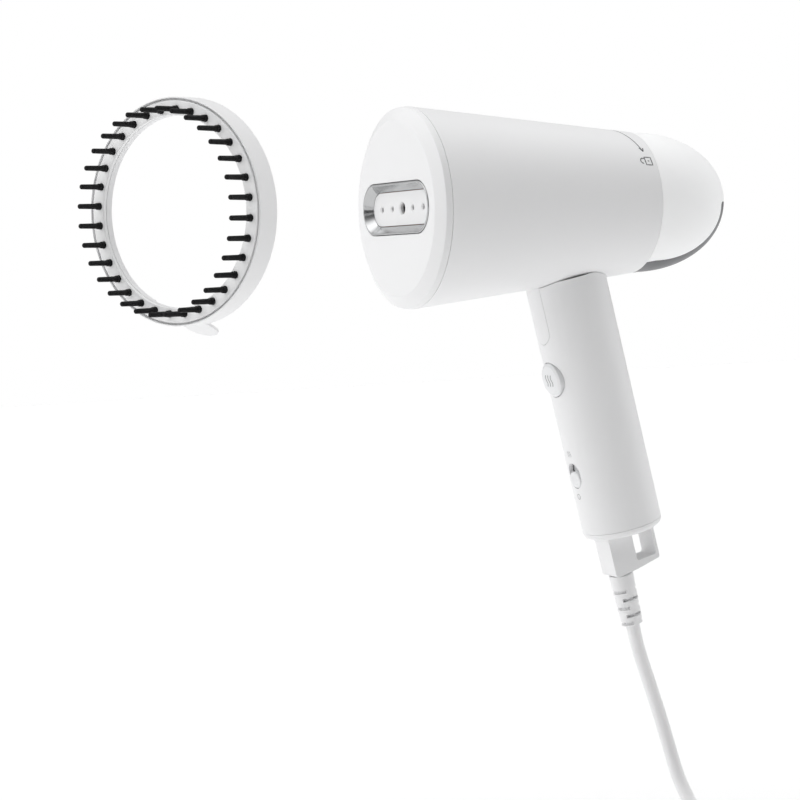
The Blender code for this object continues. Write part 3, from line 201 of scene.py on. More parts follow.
# ---- Mains cord ----------------------------------------------------------------------------------
# A round two-core cord in a pale, slightly rubbery sheath. It leaves the strain relief, hangs down to
# the floor, is wound into a flat coil of two layers of four turns, and runs on to its plug.
CORD_DIAMETER = 0.0064
PLUG_HEIGHT = 0.0140
TURN_STEPS = 60
LANES = 4
FULL_TURNS = 2 * LANES - 1                  # the turn that climbs between the layers counts in both
COIL_CENTRE = Vector((0.0500, -0.0088))
# Where in each turn, in degrees, the upper layer steps outwards, the cord climbs to it, and the lower
# layer steps inwards.
OUTWARDS, UPWARDS, INWARDS = (30, 160), (160, 230), (230, 360)
coil_low, coil_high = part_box("cord_coil")
outer_lane = (coil_high.x - coil_low.x) / 2 - CORD_DIAMETER / 2
lane_y = COIL_CENTRE.y + outer_lane
layer_z = coil_low.z + CORD_DIAMETER / 2
hand_up = Vector(next(joint for joint in frame["joints"] if joint["name"] == "slider_move")["axis"])
HANDLE = Matrix.Rotation(math.atan2(-hand_up.y, hand_up.z), 4, "X")


def box_in(node, place):
    """The lowest and highest corner of a frame node, measured along the axes of a place."""
    back = place.inverted()
    points = [back @ corner.co for corner in frame["nodes"][node].data.vertices]
    return (Vector([min(p[i] for p in points) for i in range(3)]),
            Vector([max(p[i] for p in points) for i in range(3)]))


relief_low, relief_high = box_in("strain_relief", HANDLE)
cord_forward = -(relief_low.y + relief_high.y) / 2
relief_tip = HANDLE @ Vector((0, -cord_forward, relief_low.z - GAP))
plug_low, plug_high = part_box("plug_body")
plug_x = (plug_low.x + plug_high.x) / 2
plug_z = floor_level + PLUG_HEIGHT / 2
cord_end = Vector((plug_x, plug_high.y + GAP, plug_z))
hanging = [relief_tip, (0.0000, 0.0185, -0.1100), (0.0001, 0.0240, -0.1270), (0.0004, 0.0290, -0.1430),
           (0.0013, 0.0328, -0.1575), (0.0038, 0.0353, -0.1700), (0.0092, 0.0368, -0.1794),
           (0.0160, 0.0375, -0.1861), (0.0240, lane_y, -0.1898), (0.0300, lane_y, -0.1914),
           (0.0380, lane_y, layer_z)]
to_plug = [(0.0962, -0.0355, -0.1866), (0.0948, -0.0450, -0.1886), (0.0908, -0.0550, -0.1909),
           (0.0845, -0.0640, -0.1923), (0.0778, -0.0720, -0.1922), (0.0747, -0.0800, -0.1908),
           (plug_x, -0.0870, -0.1897), cord_end]


def stepped(within, window):
    """0 before a window of the turn, 1 after it, and an even bend each way between."""
    share = min(max((within - window[0]) / (window[1] - window[0]), 0), 1)
    return 2 * share * share if share < 0.5 else 1 - 2 * (1 - share) ** 2


wound = []
for step in range(TURN_STEPS * FULL_TURNS + TURN_STEPS // 4 + 1):
    turned_by = 360 * step / TURN_STEPS
    turn, within = divmod(turned_by, 360)
    if turn < LANES - 1:
        lane, layer = turn + stepped(within, INWARDS), 0
    elif turn == LANES - 1:
        lane, layer = turn, stepped(within, UPWARDS)
    else:
        lane, layer = max(FULL_TURNS - turn - stepped(within, OUTWARDS), 0), 1
    radius = outer_lane - lane * CORD_DIAMETER
    angle = math.radians(90 - turned_by)
    wound.append((COIL_CENTRE.x + radius * math.cos(angle), COIL_CENTRE.y + radius * math.sin(angle),
                  layer_z + layer * CORD_DIAMETER))


def eased(points, steps=4):
    """A smooth curve through chosen points, with a number of steps between each two."""
    points = [Vector(p) for p in points]
    ends = [points[0] * 2 - points[1]] + points + [points[-1] * 2 - points[-2]]
    curve = []
    for i in range(1, len(ends) - 2):
        a, b, c, d = ends[i - 1:i + 3]
        for step in range(steps):
            t = step / steps
            curve.append(0.5 * ((2 * b) + (c - a) * t + (2 * a - 5 * b + 4 * c - d) * t * t
                                + (3 * b - a - 3 * c + d) * t ** 3))
    return curve + [points[-1]]


route = eased([*hanging, *wound, *to_plug])
cord_line = bpy.data.curves.new("mains_cord", "CURVE")
cord_line.dimensions = "3D"
cord_line.bevel_depth = CORD_DIAMETER / 2
cord_line.bevel_resolution = 6
cord_line.use_fill_caps = True
spline = cord_line.splines.new("POLY")
spline.points.add(len(route) - 1)
for point, place in zip(spline.points, route):
    point.co = (*place, 1)
mains_cord = bpy.data.objects.new("mains_cord", cord_line)
bpy.context.scene.collection.objects.link(mains_cord)
cord_length = sum((b - a).length for a, b in zip(route, route[1:]))
SHEATH = (0.88, 0.88, 0.885)
sheath = begin("cord_sheath")
sheath_grain = noise(900, 3.0)
cord_line.materials.append(shade(
    sheath, Base_Color=noise(40).between(tint(SHEATH, 0.96), SHEATH), Roughness=0.46 + noise(120) * 0.14,
    Specular_IOR_Level=0.45, Normal=bump(sheath_grain, 0.10, 0.00005)))
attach(mains_cord, "housing")
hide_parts("cord_lead", "cord_coil", "cord_tail")

# ---- Works inside the head and handle ------------------------------------------------------------
# Die-cast boiler, solenoid pump, hoses, switches, board and wires. They are bought-in parts, screwed
# or pushed in place, and keep their frame shapes with cast, plated, moulded and wound finishes.
CAST = (0.62, 0.62, 0.63)
cast_grain = begin("boiler_metal")
grain = noise(900, 4.0)
shade(cast_grain, Base_Color=noise(70, 4.0).between(tint(CAST, 0.85), CAST), Metallic=1.0,
      Roughness=0.42 + grain * 0.2, Normal=bump(grain, 0.35, 0.0002))
PLATED = (0.66, 0.65, 0.62)
plating = begin("plated_steel")
shade(plating, Base_Color=noise(120).between(tint(PLATED, 0.9), PLATED), Metallic=1.0,
      Roughness=0.22 + noise(300, 3.0, (1, 1, 8)) * 0.16)
WINDING = (0.72, 0.33, 0.14)
winding = begin("copper")
turns = Wire.node("TexWave", {"Vector": Wire.node("TexCoord", {}, output=3), "Scale": 180, "Distortion": 0.4},
                  output=1, wave_type="BANDS", bands_direction="Y")
shade(winding, Base_Color=turns.between(tint(WINDING, 0.6), WINDING), Metallic=1.0,
      Roughness=0.32 + turns * 0.12, Normal=bump(turns, 0.5, 0.0002))
BRASS = (0.78, 0.60, 0.30)
pin_brass = begin("pin_brass")
shade(pin_brass, Base_Color=noise(200).between(tint(BRASS, 0.88), BRASS), Metallic=1.0,
      Roughness=0.20 + noise(700, 3.0) * 0.14)
SILICONE = (0.62, 0.27, 0.19)
silicone = begin("silicone")
shade(silicone, Base_Color=noise(150).between(tint(SILICONE, 0.86), SILICONE),
      Roughness=0.55 + noise(500) * 0.15, Subsurface_Weight=0.1, Subsurface_Scale=0.002)
RUBBER = (0.030, 0.030, 0.032)
rubber = begin("black_rubber")
rubber_dust = noise(800, 3.0)
shade(rubber, Base_Color=rubber_dust.between(RUBBER, tint(RUBBER, 2.2)), Roughness=0.66 + rubber_dust * 0.2,
      Normal=bump(rubber_dust, 0.25, 0.0001))
LAMINATE = (0.04, 0.20, 0.10)
laminate = begin("circuit_board")
tracks = Wire.node("TexVoronoi", {"Vector": Wire.node("TexCoord", {}, output=3), "Scale": 420},
                   distance="CHEBYCHEV")
shade(laminate, Base_Color=tracks.rise(0.25, 0.45).between(tint(LAMINATE, 1.8), LAMINATE),
      Roughness=0.32 + noise(300) * 0.12)
MOULDED = (0.90, 0.902, 0.906)
pale_plastic = begin("pale_plastic")
shade(pale_plastic, Base_Color=noise(60).between(tint(MOULDED, 0.96), MOULDED),
      Roughness=0.38 + noise(240) * 0.12, Normal=bump(noise(1600), 0.06, 0.00004))
DARK_TRIM = (0.105, 0.108, 0.115)
dark_trim = begin("dark_trim")
shade(dark_trim, Base_Color=noise(90).between(tint(DARK_TRIM, 0.9), DARK_TRIM),
      Roughness=0.34 + noise(260) * 0.12, Normal=bump(noise(1500), 0.10, 0.00004))
WHITE = (0.855, 0.856, 0.862)
white_shell = begin("white_shell")
orange_peel = noise(520, 1.0)
shade(white_shell, Base_Color=noise(26, 3.0).between(tint(WHITE, 0.975), WHITE),
      Roughness=0.36 + noise(180) * 0.10, Specular_IOR_Level=0.45,
      Normal=bump(orange_peel, 0.05, 0.00006))
BUTTON_WHITE = (0.83, 0.835, 0.845)
white_button = begin("white_button")
shade(white_button, Base_Color=noise(60).between(tint(BUTTON_WHITE, 0.97), BUTTON_WHITE),
      Roughness=0.40 + noise(400) * 0.10, Normal=bump(noise(1800), 0.12, 0.00004))
# The frosted tank's colour also glows faintly from its own emission: painted light that brightens the tank as
# if light shone through its wall.
FROST_AND_PAINTED_GLOW = (0.962, 0.965, 0.968)
frosted_tank = begin("frosted_tank")
frosting = noise(1400)
shade(frosted_tank, Base_Color=noise(30).between(tint(FROST_AND_PAINTED_GLOW, 0.95), FROST_AND_PAINTED_GLOW),
      Roughness=0.42 + frosting * 0.12, Transmission_Weight=0.15, IOR=1.45, Emission_Color=(*FROST_AND_PAINTED_GLOW, 1),
      Emission_Strength=0.09, Normal=bump(frosting, 0.08, 0.00005))
BRISTLE_BLACK = (0.006, 0.006, 0.0065)
bristles = begin("bristles")
shade(bristles, Base_Color=noise(500).between(BRISTLE_BLACK, tint(BRISTLE_BLACK, 1.8)),
      Roughness=0.46 + noise(900) * 0.16, Specular_IOR_Level=0.12)
MIRROR = (0.53, 0.535, 0.54)
outlet_chrome = begin("outlet_chrome")
shade(outlet_chrome, Base_Color=noise(80).between(tint(MIRROR, 0.95), MIRROR), Metallic=1.0,
      Roughness=0.12 + noise(350, 3.0) * 0.08)

finishes = {paint.name: paint for paint in (
    cast_grain, plating, winding, pin_brass, silicone, rubber, laminate, pale_plastic, dark_trim,
    white_shell, white_button, frosted_tank, bristles, outlet_chrome, sheath)}
for node in frame["nodes"].values():
    for slot in node.material_slots:
        slot.material = finishes[slot.material.name.removeprefix("plain_")]

# ---- Head casing ---------------------------------------------------------------------------------
# The tapered white shell of the head, one moulding with the strip that runs down the front of the
# handle and covers its joint. A turning arrow and an open padlock are printed in grey by the tank.
SHELL_WALL = 0.0022
PAST = 0.001                                # how far a cutter runs past what it cuts
clip = next(joint for joint in frame["joints"] if joint["name"] == "brush_clip")
TO_FRONT = Matrix.Rotation(math.pi / 2, 4, "X")         # turns a shape's Z to point forwards
# The head's own axes: the origin in the middle of the steam face's rim, Z out of the face and Y up.
HEAD = Matrix.Translation((0, clip["pos_m"][1], clip["pos_m"][2])) @ TO_FRONT


def softened(corners, closed=True, steps=4):
    """An outline of (x, y) corners, where a third number is the radius that rounds a corner."""
    points = []
    for i, (x, y, *bend) in enumerate(corners):
        here = Vector((x, y))
        if not bend or (not closed and i in (0, len(corners) - 1)):
            points.append((x, y))
            continue
        before = (Vector(corners[i - 1][:2]) - here).normalized()
        after = (Vector(corners[(i + 1) % len(corners)][:2]) - here).normalized()
        half = before.angle(after) / 2
        centre = here + (before + after).normalized() * bend[0] / math.sin(half)
        start, end = (here + way * bend[0] / math.tan(half) - centre for way in (before, after))
        for step in range(steps + 1):
            points.append(tuple(centre + start.lerp(end, step / steps).normalized() * bend[0]))
    return points


def turned(outline, steps=160, closed=True):
    """A shape turned about Z from an outline of (radius, height) corners."""
    shape = bmesh.new()
    corners = [shape.verts.new((radius, 0, height)) for radius, height in softened(outline, closed)]
    run = corners + corners[:1] if closed else corners
    edges = [shape.edges.new(pair) for pair in zip(run, run[1:])]
    bmesh.ops.spin(shape, geom=corners + edges, axis=(0, 0, 1), cent=(0, 0, 0), angle=math.tau,
                   steps=steps, use_merge=True)
    bmesh.ops.remove_doubles(shape, verts=shape.verts, dist=0.000001)
    bmesh.ops.recalc_face_normals(shape, faces=shape.faces)
    return shape


def rod(radius, low, high, steps):
    return turned([(0, low), (radius, low), (radius, high), (0, high)], steps, closed=False)


def oblong(left, right, foot, top):
    return [(left, foot), (right, foot), (right, top), (left, top)]


def pressed(outline, low, high, along="Z"):
    """A flat outline given thickness between two levels along an axis."""
    shape = bmesh.new()
    if along == "Z":
        corners = [shape.verts.new((u, v, low)) for u, v in outline]
    elif along == "X":
        corners = [shape.verts.new((low, u, v)) for u, v in outline]
    else:
        corners = [shape.verts.new((u, low, v)) for u, v in outline]
    grown = bmesh.ops.extrude_face_region(shape, geom=[shape.faces.new(corners)])["geom"]
    step = Vector([(high - low) * (axis == along) for axis in "XYZ"])
    bmesh.ops.translate(shape, vec=step, verts=[v for v in grown if isinstance(v, bmesh.types.BMVert)])
    bmesh.ops.recalc_face_normals(shape, faces=shape.faces)
    return shape


def moved(shape, matrix):
    """The same shape, after it is moved and turned."""
    bmesh.ops.transform(shape, matrix=matrix, verts=shape.verts)
    return shape


def held(shape):
    """A loose object for a shape, which a cut uses up."""
    blank = bpy.data.objects.new("blank", bpy.data.meshes.new("blank"))
    shape.to_mesh(blank.data)
    shape.free()
    bpy.context.scene.collection.objects.link(blank)
    return blank


def carved(shape, *tools, how="DIFFERENCE"):
    """A shape after other shapes are cut from it, joined to it or kept in common with it."""
    blanks = [held(part) for part in (shape, *tools)]
    for tool in blanks[1:]:
        change = blanks[0].modifiers.new("carve", "BOOLEAN")
        change.object = tool
        change.operation = how
        change.solver = "EXACT"
    result = bmesh.new()
    result.from_object(blanks[0], bpy.context.evaluated_depsgraph_get())
    for blank in blanks:
        bpy.data.meshes.remove(blank.data)
    bmesh.ops.remove_doubles(result, verts=result.verts, dist=0.000002)
    return result


def settle(shape, name, paint, body, *nodes, at=Matrix(), crease=35, edge=0.0):
    """Put a shape in its place as a finished piece that rides on a body and stands for frame nodes."""
    moved(shape, at)
    for line in shape.edges:
        line.smooth = len(line.link_faces) == 2 and line.calc_face_angle(0) < math.radians(crease)
    for face in shape.faces:
        face.smooth = True
    piece = bpy.data.objects.new(name, bpy.data.meshes.new(name))
    shape.to_mesh(piece.data)
    shape.free()
    bpy.context.scene.collection.objects.link(piece)
    piece.data.materials.append(paint)
    if edge:
        worn = piece.modifiers.new("edge", "BEVEL")
        worn.width = edge
        worn.segments = 2
        worn.limit_method = "ANGLE"
        worn.angle_limit = math.radians(crease)
        worn.material = -1
    shine = piece.modifiers.new("shine", "WEIGHTED_NORMAL")
    shine.keep_sharp = True
    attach(piece, body)
    if nodes:
        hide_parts(*nodes)
    return piece


cover_high = box_in("front_cover", HEAD)[1]
tank_low, tank_high = box_in("tank_shell", HEAD)
grip_low, grip_high = box_in("handle_shell", HANDLE)
BAND_RADIUS = cover_high.x
CASING_FRONT = 0.0033                       # behind the rim, as the seam is
SEAM = -0.0005 - tank_high.z
SEAM_RADIUS = 0.0323
HANDLE_RADIUS = grip_high.x
HANDLE_BORE = HANDLE_RADIUS - 0.0020
HANDLE_TOP = 0.0800                         # above the middle of the grip, as the strip's foot is
TONGUE_HALF_WIDTH = 0.0060
TONGUE_FOOT = 0.0385
NECK_RISE = 0.0590


def casing_radius(behind):
    """The radius of the tapered casing at a distance behind its rim."""
    return BAND_RADIUS + (SEAM_RADIUS - BAND_RADIUS) * (behind - CASING_FRONT) / (SEAM - CASING_FRONT)


def casing_core(inset, back):
    """A solid cone as the casing is outside, less an inset, from the rim to a distance behind it."""
    return turned([(0, 0), (casing_radius(0) - inset, 0), (casing_radius(back) - inset, -back), (0, -back)],
                  closed=False)


def round_footed(half_width, centre, top, steps=16):
    """An outline with straight sides down from its top and a round foot about a centre."""
    angles = [math.pi * step / steps for step in range(steps + 1)]
    foot = [(-half_width * math.cos(angle), centre - half_width * math.sin(angle)) for angle in angles]
    return [(-half_width, top), *foot, (half_width, top)]


TONGUE_CENTRE = TONGUE_FOOT + TONGUE_HALF_WIDTH
TONGUE_SPAN = (-0.030, -0.005)              # from ahead of the handle to inside its bore
tongue_front, tongue_back = HANDLE_RADIUS + 0.00005, HANDLE_BORE + 0.0006
below_tongue = TONGUE_FOOT - 0.0085
tongue_wall = turned([(tongue_front, HANDLE_TOP), (tongue_front, below_tongue),
                      (tongue_back, below_tongue), (tongue_back, HANDLE_TOP)])
tongue = pressed(round_footed(TONGUE_HALF_WIDTH, TONGUE_CENTRE, HANDLE_TOP - 0.002), *TONGUE_SPAN, "Y")
tongue = carved(tongue_wall, tongue, how="INTERSECT")
tongue = carved(moved(tongue, HANDLE), moved(casing_core(SHELL_WALL / 2, SEAM + PAST), HEAD))
casing_lip = CASING_FRONT - 0.00025
casing = turned([(casing_radius(casing_lip), -casing_lip, 0.0002), (casing_radius(SEAM), -SEAM, 0.0002),
                 (casing_radius(SEAM) - SHELL_WALL, -SEAM),
                 (casing_radius(casing_lip) - SHELL_WALL, -casing_lip)])
wire_way = rod(HANDLE_BORE - 0.0035, NECK_RISE - 0.012, NECK_RISE + 0.012, 64)
settle(carved(carved(moved(casing, HEAD), tongue, how="UNION"),
              moved(wire_way, HANDLE @ Matrix.Translation((0, 0.001, 0)))),
       "head_casing", white_shell, "housing", "body_shell", edge=0.0003)

INK = (0.085, 0.085, 0.09)
ink = begin("printed_ink")
shade(ink, Base_Color=noise(400).between(tint(INK, 0.92), INK), Roughness=0.45 + noise(900) * 0.1)


def ribbon(shape, line, width, wrap, closed=False):
    """A printed line of even width along flat points, laid on a surface by wrap(u, v)."""
    corners = [Vector(p) for p in line]
    line = [start.lerp(end, share) for start, end in zip(corners, corners[1:] + corners[:closed])
            for share in (0, 0.5)] + corners[len(corners) - (not closed):]
    last = []
    for i in range(len(line) + closed):
        here = line[i % len(line)]
        before = line[i - 1] if closed or i else here
        after = line[(i + 1) % len(line)] if closed or i + 1 < len(line) else here
        across = (after - before).orthogonal().normalized() * width / 2
        edge = [wrap(*(here + across)), wrap(*(here - across))]
        if last:
            grown = bmesh.ops.extrude_edge_only(shape, edges=[shape.edges.get(last)])["geom"]
            fresh = [part for part in grown if isinstance(part, bmesh.types.BMVert)]
            last = [next(new for new in fresh if shape.edges.get((new, old))) for old in last]
            for corner, place in zip(last, edge):
                corner.co = place
        else:
            last = [shape.verts.new(place) for place in edge]
            shape.edges.new(last)
    return shape


INK_STAND = 0.00004                         # how far printing stands off its surface
MARKS_RADIUS = casing_radius(0.107)
LINE_WIDTH = 0.00050
LOCK_WIDTH = 0.00052


def on_casing(across, behind):
    """A point just above the casing, from a distance round it and a distance behind the rim."""
    angle = across / MARKS_RADIUS
    radius = casing_radius(behind) + INK_STAND
    return (radius * math.cos(angle), radius * math.sin(angle), -behind)


marks = bmesh.new()
tail = Vector((math.radians(83) * MARKS_RADIUS, 0.1040))
tip = Vector((math.radians(42) * MARKS_RADIUS, 0.1090))
ribbon(marks, [tail.lerp(tip, i / 16) for i in range(17)], LINE_WIDTH, on_casing)
for side in (-1, 1):
    barb = tip + Vector((0.0024, -0.0002 + 0.0011 * side))
    ribbon(marks, [barb, tip], LINE_WIDTH, on_casing)
lock = Vector((math.radians(32.5) * MARKS_RADIUS, 0.1080))
lock_body = [(-0.00208, 0), (0.00208, 0), (0.00208, 0.00338), (-0.00208, 0.00338)]
open_shackle = [(0.0013, 0), (0.0013, -0.00156), (0.00078, -0.00234), (-0.00026, -0.0026),
                (-0.00117, -0.00208), (-0.00143, -0.00117)]
keyhole = [(0, 0.0013), (0, 0.00208)]
for line, closed in ((lock_body, True), (open_shackle, False), (keyhole, False)):
    ribbon(marks, [lock + Vector(point) for point in line], LOCK_WIDTH, on_casing, closed)
bmesh.ops.recalc_face_normals(marks, faces=marks.faces)
settle(marks, "casing_marks", ink, "housing", at=HEAD)

# ---- Front cover ---------------------------------------------------------------------------------
# The round steam face: a white moulding with a chamfered rim, which snaps into the casing's front
# edge on a short lip and has a stadium-shaped mouth for the outlet.
FACE_RADIUS = 0.0386
FACE_STAND = cover_high.z
BAND_DEPTH = 0.0030
COVER_LIP = CASING_FRONT + 0.0045
outlet_low, outlet_high = box_in("nozzle_frame", HEAD)
OUTLET_WIDTH, OUTLET_HEIGHT = (outlet_high - outlet_low)[:2]


def stadium(width, height, centre=(0, 0), count=24):
    """A slot outline with round ends, counted round from its lower right."""
    radius = min(width, height) / 2
    run_x, run_y = width / 2 - radius, height / 2 - radius
    start = -90 if width >= height else 0
    points = []
    for part, way in ((0, 1), (1, -1)):
        for step in range(count + 1):
            angle = math.radians(start + 180 * part + 180 * step / count)
            points.append((centre[0] + run_x * way + radius * math.cos(angle),
                           centre[1] + run_y * way + radius * math.sin(angle)))
    return points


bore_front = casing_radius(CASING_FRONT) - SHELL_WALL - GAP
bore_back = casing_radius(COVER_LIP) - SHELL_WALL - GAP
cover = turned([
    (0, FACE_STAND), (FACE_RADIUS - 0.0030, FACE_STAND), (FACE_RADIUS, FACE_STAND, 0.0012),
    (BAND_RADIUS - GAP, 0, 0.0007), (BAND_RADIUS, -BAND_DEPTH, 0.0004), (bore_front, -BAND_DEPTH),
    (bore_back, -COVER_LIP), (bore_back - SHELL_WALL, -COVER_LIP), (bore_back - SHELL_WALL, -SHELL_WALL),
    (FACE_RADIUS - SHELL_WALL / 2, FACE_STAND - SHELL_WALL), (0, FACE_STAND - SHELL_WALL)], closed=False)
mouth = pressed(stadium(OUTLET_WIDTH + 2 * GAP, OUTLET_HEIGHT + 2 * GAP), -COVER_LIP, COVER_LIP)
settle(carved(cover, mouth), "steam_face", white_shell, "housing", "front_cover", at=HEAD, edge=0.0002)

# ---- Steam outlet --------------------------------------------------------------------------------
# A bright-plated frame with sloping walls sits in the mouth, round a recessed white plate with a
# large steam hole and four small ones. A silicone gasket behind them seals the boiler.
BORDER = 0.0036
PLATE_SINK = 0.0034
PLATE_THICK = 0.0018
HOLE_PITCH = 0.0103
LARGE_HOLE, SMALL_HOLE = 0.0025, 0.0012
plate_front = FACE_STAND - PLATE_SINK


def lofted(rings, closed=False, caps=False):
    """A skin drawn through rings of points, each the same number of points the same way round."""
    shape = bmesh.new()
    order = shape.verts.layers.int.new("order")
    first = bmesh.ops.create_circle(shape, segments=len(rings[0]), radius=1)["verts"]
    for number, (corner, place) in enumerate(zip(first, rings[0])):
        corner[order] = number
        corner.co = place
    rim = list(shape.edges)
    if caps:
        shape.faces.new(first)
    for ring in rings[1:] + (rings[:1] if closed else []):
        grown = bmesh.ops.extrude_edge_only(shape, edges=rim)["geom"]
        for corner in grown:
            if isinstance(corner, bmesh.types.BMVert):
                corner.co = ring[corner[order]]
        rim = [part for part in grown if isinstance(part, bmesh.types.BMEdge)
               and all(v in grown for v in part.verts)]
    if caps:
        bmesh.ops.contextual_create(shape, geom=rim)
    bmesh.ops.remove_doubles(shape, verts=shape.verts, dist=0.000001)
    bmesh.ops.recalc_face_normals(shape, faces=shape.faces)
    return shape


def stadium_ring(inset, forward):
    """The outlet's outline as a ring of points, set in from its edge, at a height over the rim."""
    outline = stadium(OUTLET_WIDTH - 2 * inset, OUTLET_HEIGHT - 2 * inset)
    return [(x, y, forward) for x, y in outline]


lip = FACE_STAND + 0.0003
frame_rings = [stadium_ring(inset, forward) for inset, forward in softened([
    (0, lip, 0.0003), (0, plate_front - PLATE_THICK), (BORDER, plate_front - PLATE_THICK),
    (BORDER, plate_front, 0.0002), (0.0008, lip, 0.0002)])]
settle(lofted(frame_rings, closed=True), "outlet_frame", outlet_chrome, "housing", "nozzle_frame", at=HEAD)

plate = pressed(stadium(OUTLET_WIDTH - 2 * BORDER - 2 * GAP, OUTLET_HEIGHT - 2 * BORDER - 2 * GAP),
                plate_front - PLATE_THICK, plate_front)
drills = []
for number in range(-2, 3):
    radius = SMALL_HOLE if number else LARGE_HOLE
    drill = turned([(0, -PLATE_THICK - PAST), (radius, -PLATE_THICK - PAST), (radius, -0.0005),
                    (radius + 0.0009, 0.0004), (0, 0.0004)], 40, closed=False)
    drills.append(moved(drill, Matrix.Translation((number * HOLE_PITCH, 0, plate_front))))
settle(carved(plate, *drills), "steam_hole_plate", white_shell, "housing", "steam_plate", at=HEAD,
       edge=0.0002)

# ---- Water tank ----------------------------------------------------------------------------------
# A frosted clear dome, filled through its stopper and turned into the bayonet by its lugs. A dark
# strip is let into its underside. The cap, stopper and suction tube keep their frame shapes.
TANK_STRAIGHT = 0.0040
TANK_WALL = 0.0024
TRIM_THICK = 0.0009
TRIM_SPAN = (-0.200, -0.100)                # from past the dome's tip to ahead of the strip
tank_front = -tank_high.z
dome_start = tank_front + TANK_STRAIGHT
DOME_LENGTH = -tank_low.z - dome_start


def dome(inset, rings=40):
    """The tank's wall from its mouth to its tip, set in from the outside, blunter than an ellipse."""
    points = [(casing_radius(tank_front) - inset, 0.0004 - tank_front)]
    for step in range(rings):
        angle = math.pi / 2 * (1 - (1 - step / rings) ** 1.4)       # rings lie closer near the tip
        points.append(((casing_radius(dome_start) - inset) * math.cos(angle) ** 0.9,
                       -dome_start - (DOME_LENGTH - inset) * math.sin(angle)))
    return points + [(0, inset - dome_start - DOME_LENGTH)]


def trim_outline(grow):
    """The dark strip seen from behind: widest under the dome's middle, narrower below."""
    shoulder, foot = 0.0205 + grow, 0.0120 + grow
    return softened([(-shoulder, -0.0010 + grow, 0.002), (-foot, -0.060), (foot, -0.060),
                     (shoulder, -0.0010 + grow, 0.002)])


outer_wall = [(r + 0.002, z - 0.002 * (z < -dome_start)) for r, z in dome(0)[:-1]]
recess = carved(turned(outer_wall + [(0, -dome_start - DOME_LENGTH - 0.002)]
                       + dome(TRIM_THICK + GAP)[::-1], 128),
                pressed(trim_outline(GAP), *TRIM_SPAN), how="INTERSECT")
# The tank's finish has a painted glow: a faint emission of its own frost colour stands in for light through
# the wall.
settle(carved(turned(dome(0) + dome(TANK_WALL)[::-1], 128), recess), "water_tank", frosted_tank, "tank",
       "tank_shell", at=HEAD)
strip = carved(turned(dome(0) + dome(TRIM_THICK)[::-1], 128), pressed(trim_outline(0), *TRIM_SPAN),
               how="INTERSECT")
settle(strip, "tank_underside_strip", dark_trim, "tank", "tank_trim", at=HEAD)

# ---- Handle --------------------------------------------------------------------------------------
# A round white tube, cut to the casing's curve at its top and slotted for the casing's strip, the
# button and the slider. The rounded end cap closes it and carries two screws into the chassis.
BUTTON_RISE = 0.0220
BUTTON_RADIUS = 0.0079
SLIDER_DROP = 0.0234
SLOT_WIDTH, SLOT_LENGTH = 0.0092, 0.0120
RUN_GAP = 0.0005                            # play round pieces that travel
grip_foot = grip_low.z
tube = turned([(HANDLE_RADIUS, HANDLE_TOP), (HANDLE_RADIUS, grip_foot - 0.0002), (HANDLE_BORE, grip_foot),
               (HANDLE_BORE, HANDLE_TOP)])
saddle = moved(casing_core(-GAP, SEAM), HANDLE.inverted() @ HEAD)
top_cut = pressed(oblong(-0.03, 0.03, -0.03, 0.03), 0.0660, 0.0900)
tongue_slot = pressed(round_footed(TONGUE_HALF_WIDTH + GAP / 2, TONGUE_CENTRE, HANDLE_TOP + 0.002),
                      *TONGUE_SPAN, "Y")
button_hole = moved(rod(BUTTON_RADIUS + GAP, 0.008, 0.025, 96),
                    Matrix.Translation((0, 0, BUTTON_RISE)) @ TO_FRONT)
slider_slot = pressed(stadium(SLOT_WIDTH, SLOT_LENGTH, (0, -SLIDER_DROP)), -0.025, -0.008, "Y")
settle(carved(tube, saddle, top_cut, tongue_slot, button_hole, slider_slot), "grip_tube", white_shell,
       "housing", "handle_shell", at=HANDLE, edge=0.0002)

END_FILLET = 0.0030
CAP_FLOOR, CAP_LIP_WALL = 0.0026, 0.0016
STEM_RADIUS = 0.0036
cap_low, cap_high = box_in("handle_end_cap", HANDLE)
cap_lip = HANDLE_BORE - GAP
cap_shoulder = grip_foot - GAP
cord_line_in_handle = Matrix.Translation((0, -cord_forward, 0))
end_cap = turned([(cap_lip, cap_high.z), (cap_lip, cap_shoulder), (HANDLE_RADIUS, cap_shoulder, 0.00015),
                  (HANDLE_RADIUS, cap_low.z, END_FILLET), (0, cap_low.z), (0, cap_low.z + CAP_FLOOR),
                  (cap_lip - CAP_LIP_WALL, cap_low.z + CAP_FLOOR), (cap_lip - CAP_LIP_WALL, cap_high.z)],
                 closed=False)
bores = [moved(rod(STEM_RADIUS + GAP, cap_low.z - 0.002, cap_high.z + 0.01, 48), cord_line_in_handle)]
for node in ("cap_screw_left", "cap_screw_right"):
    screw_low, screw_high = box_in(node, HANDLE)
    middle, head_radius = (screw_low + screw_high) / 2, (screw_high.x - screw_low.x) / 2
    shank_radius = head_radius * 0.55
    seat = cap_low.z + 0.0016
    bore = turned([(0, cap_low.z - 0.002), (head_radius + GAP, cap_low.z - 0.002), (head_radius + GAP, seat),
                   (shank_radius + GAP, seat), (shank_radius + GAP, cap_high.z), (0, cap_high.z)],
                  40, closed=False)
    bores.append(moved(bore, Matrix.Translation((middle.x, middle.y, 0))))
settle(carved(end_cap, *bores), "grip_end_cap", white_shell, "housing", "handle_end_cap", at=HANDLE)


def on_grip(across, rise):
    """A point just above the front of the grip, from a distance round it and one up it."""
    angle = across / HANDLE_RADIUS
    reach = HANDLE_RADIUS + INK_STAND
    return (reach * math.sin(angle), -reach * math.cos(angle), rise)


FAINT_INK = (0.36, 0.365, 0.37)
faint_ink = begin("faint_ink")
shade(faint_ink, Base_Color=noise(400).between(tint(FAINT_INK, 0.92), FAINT_INK),
      Roughness=0.45 + noise(900) * 0.1)


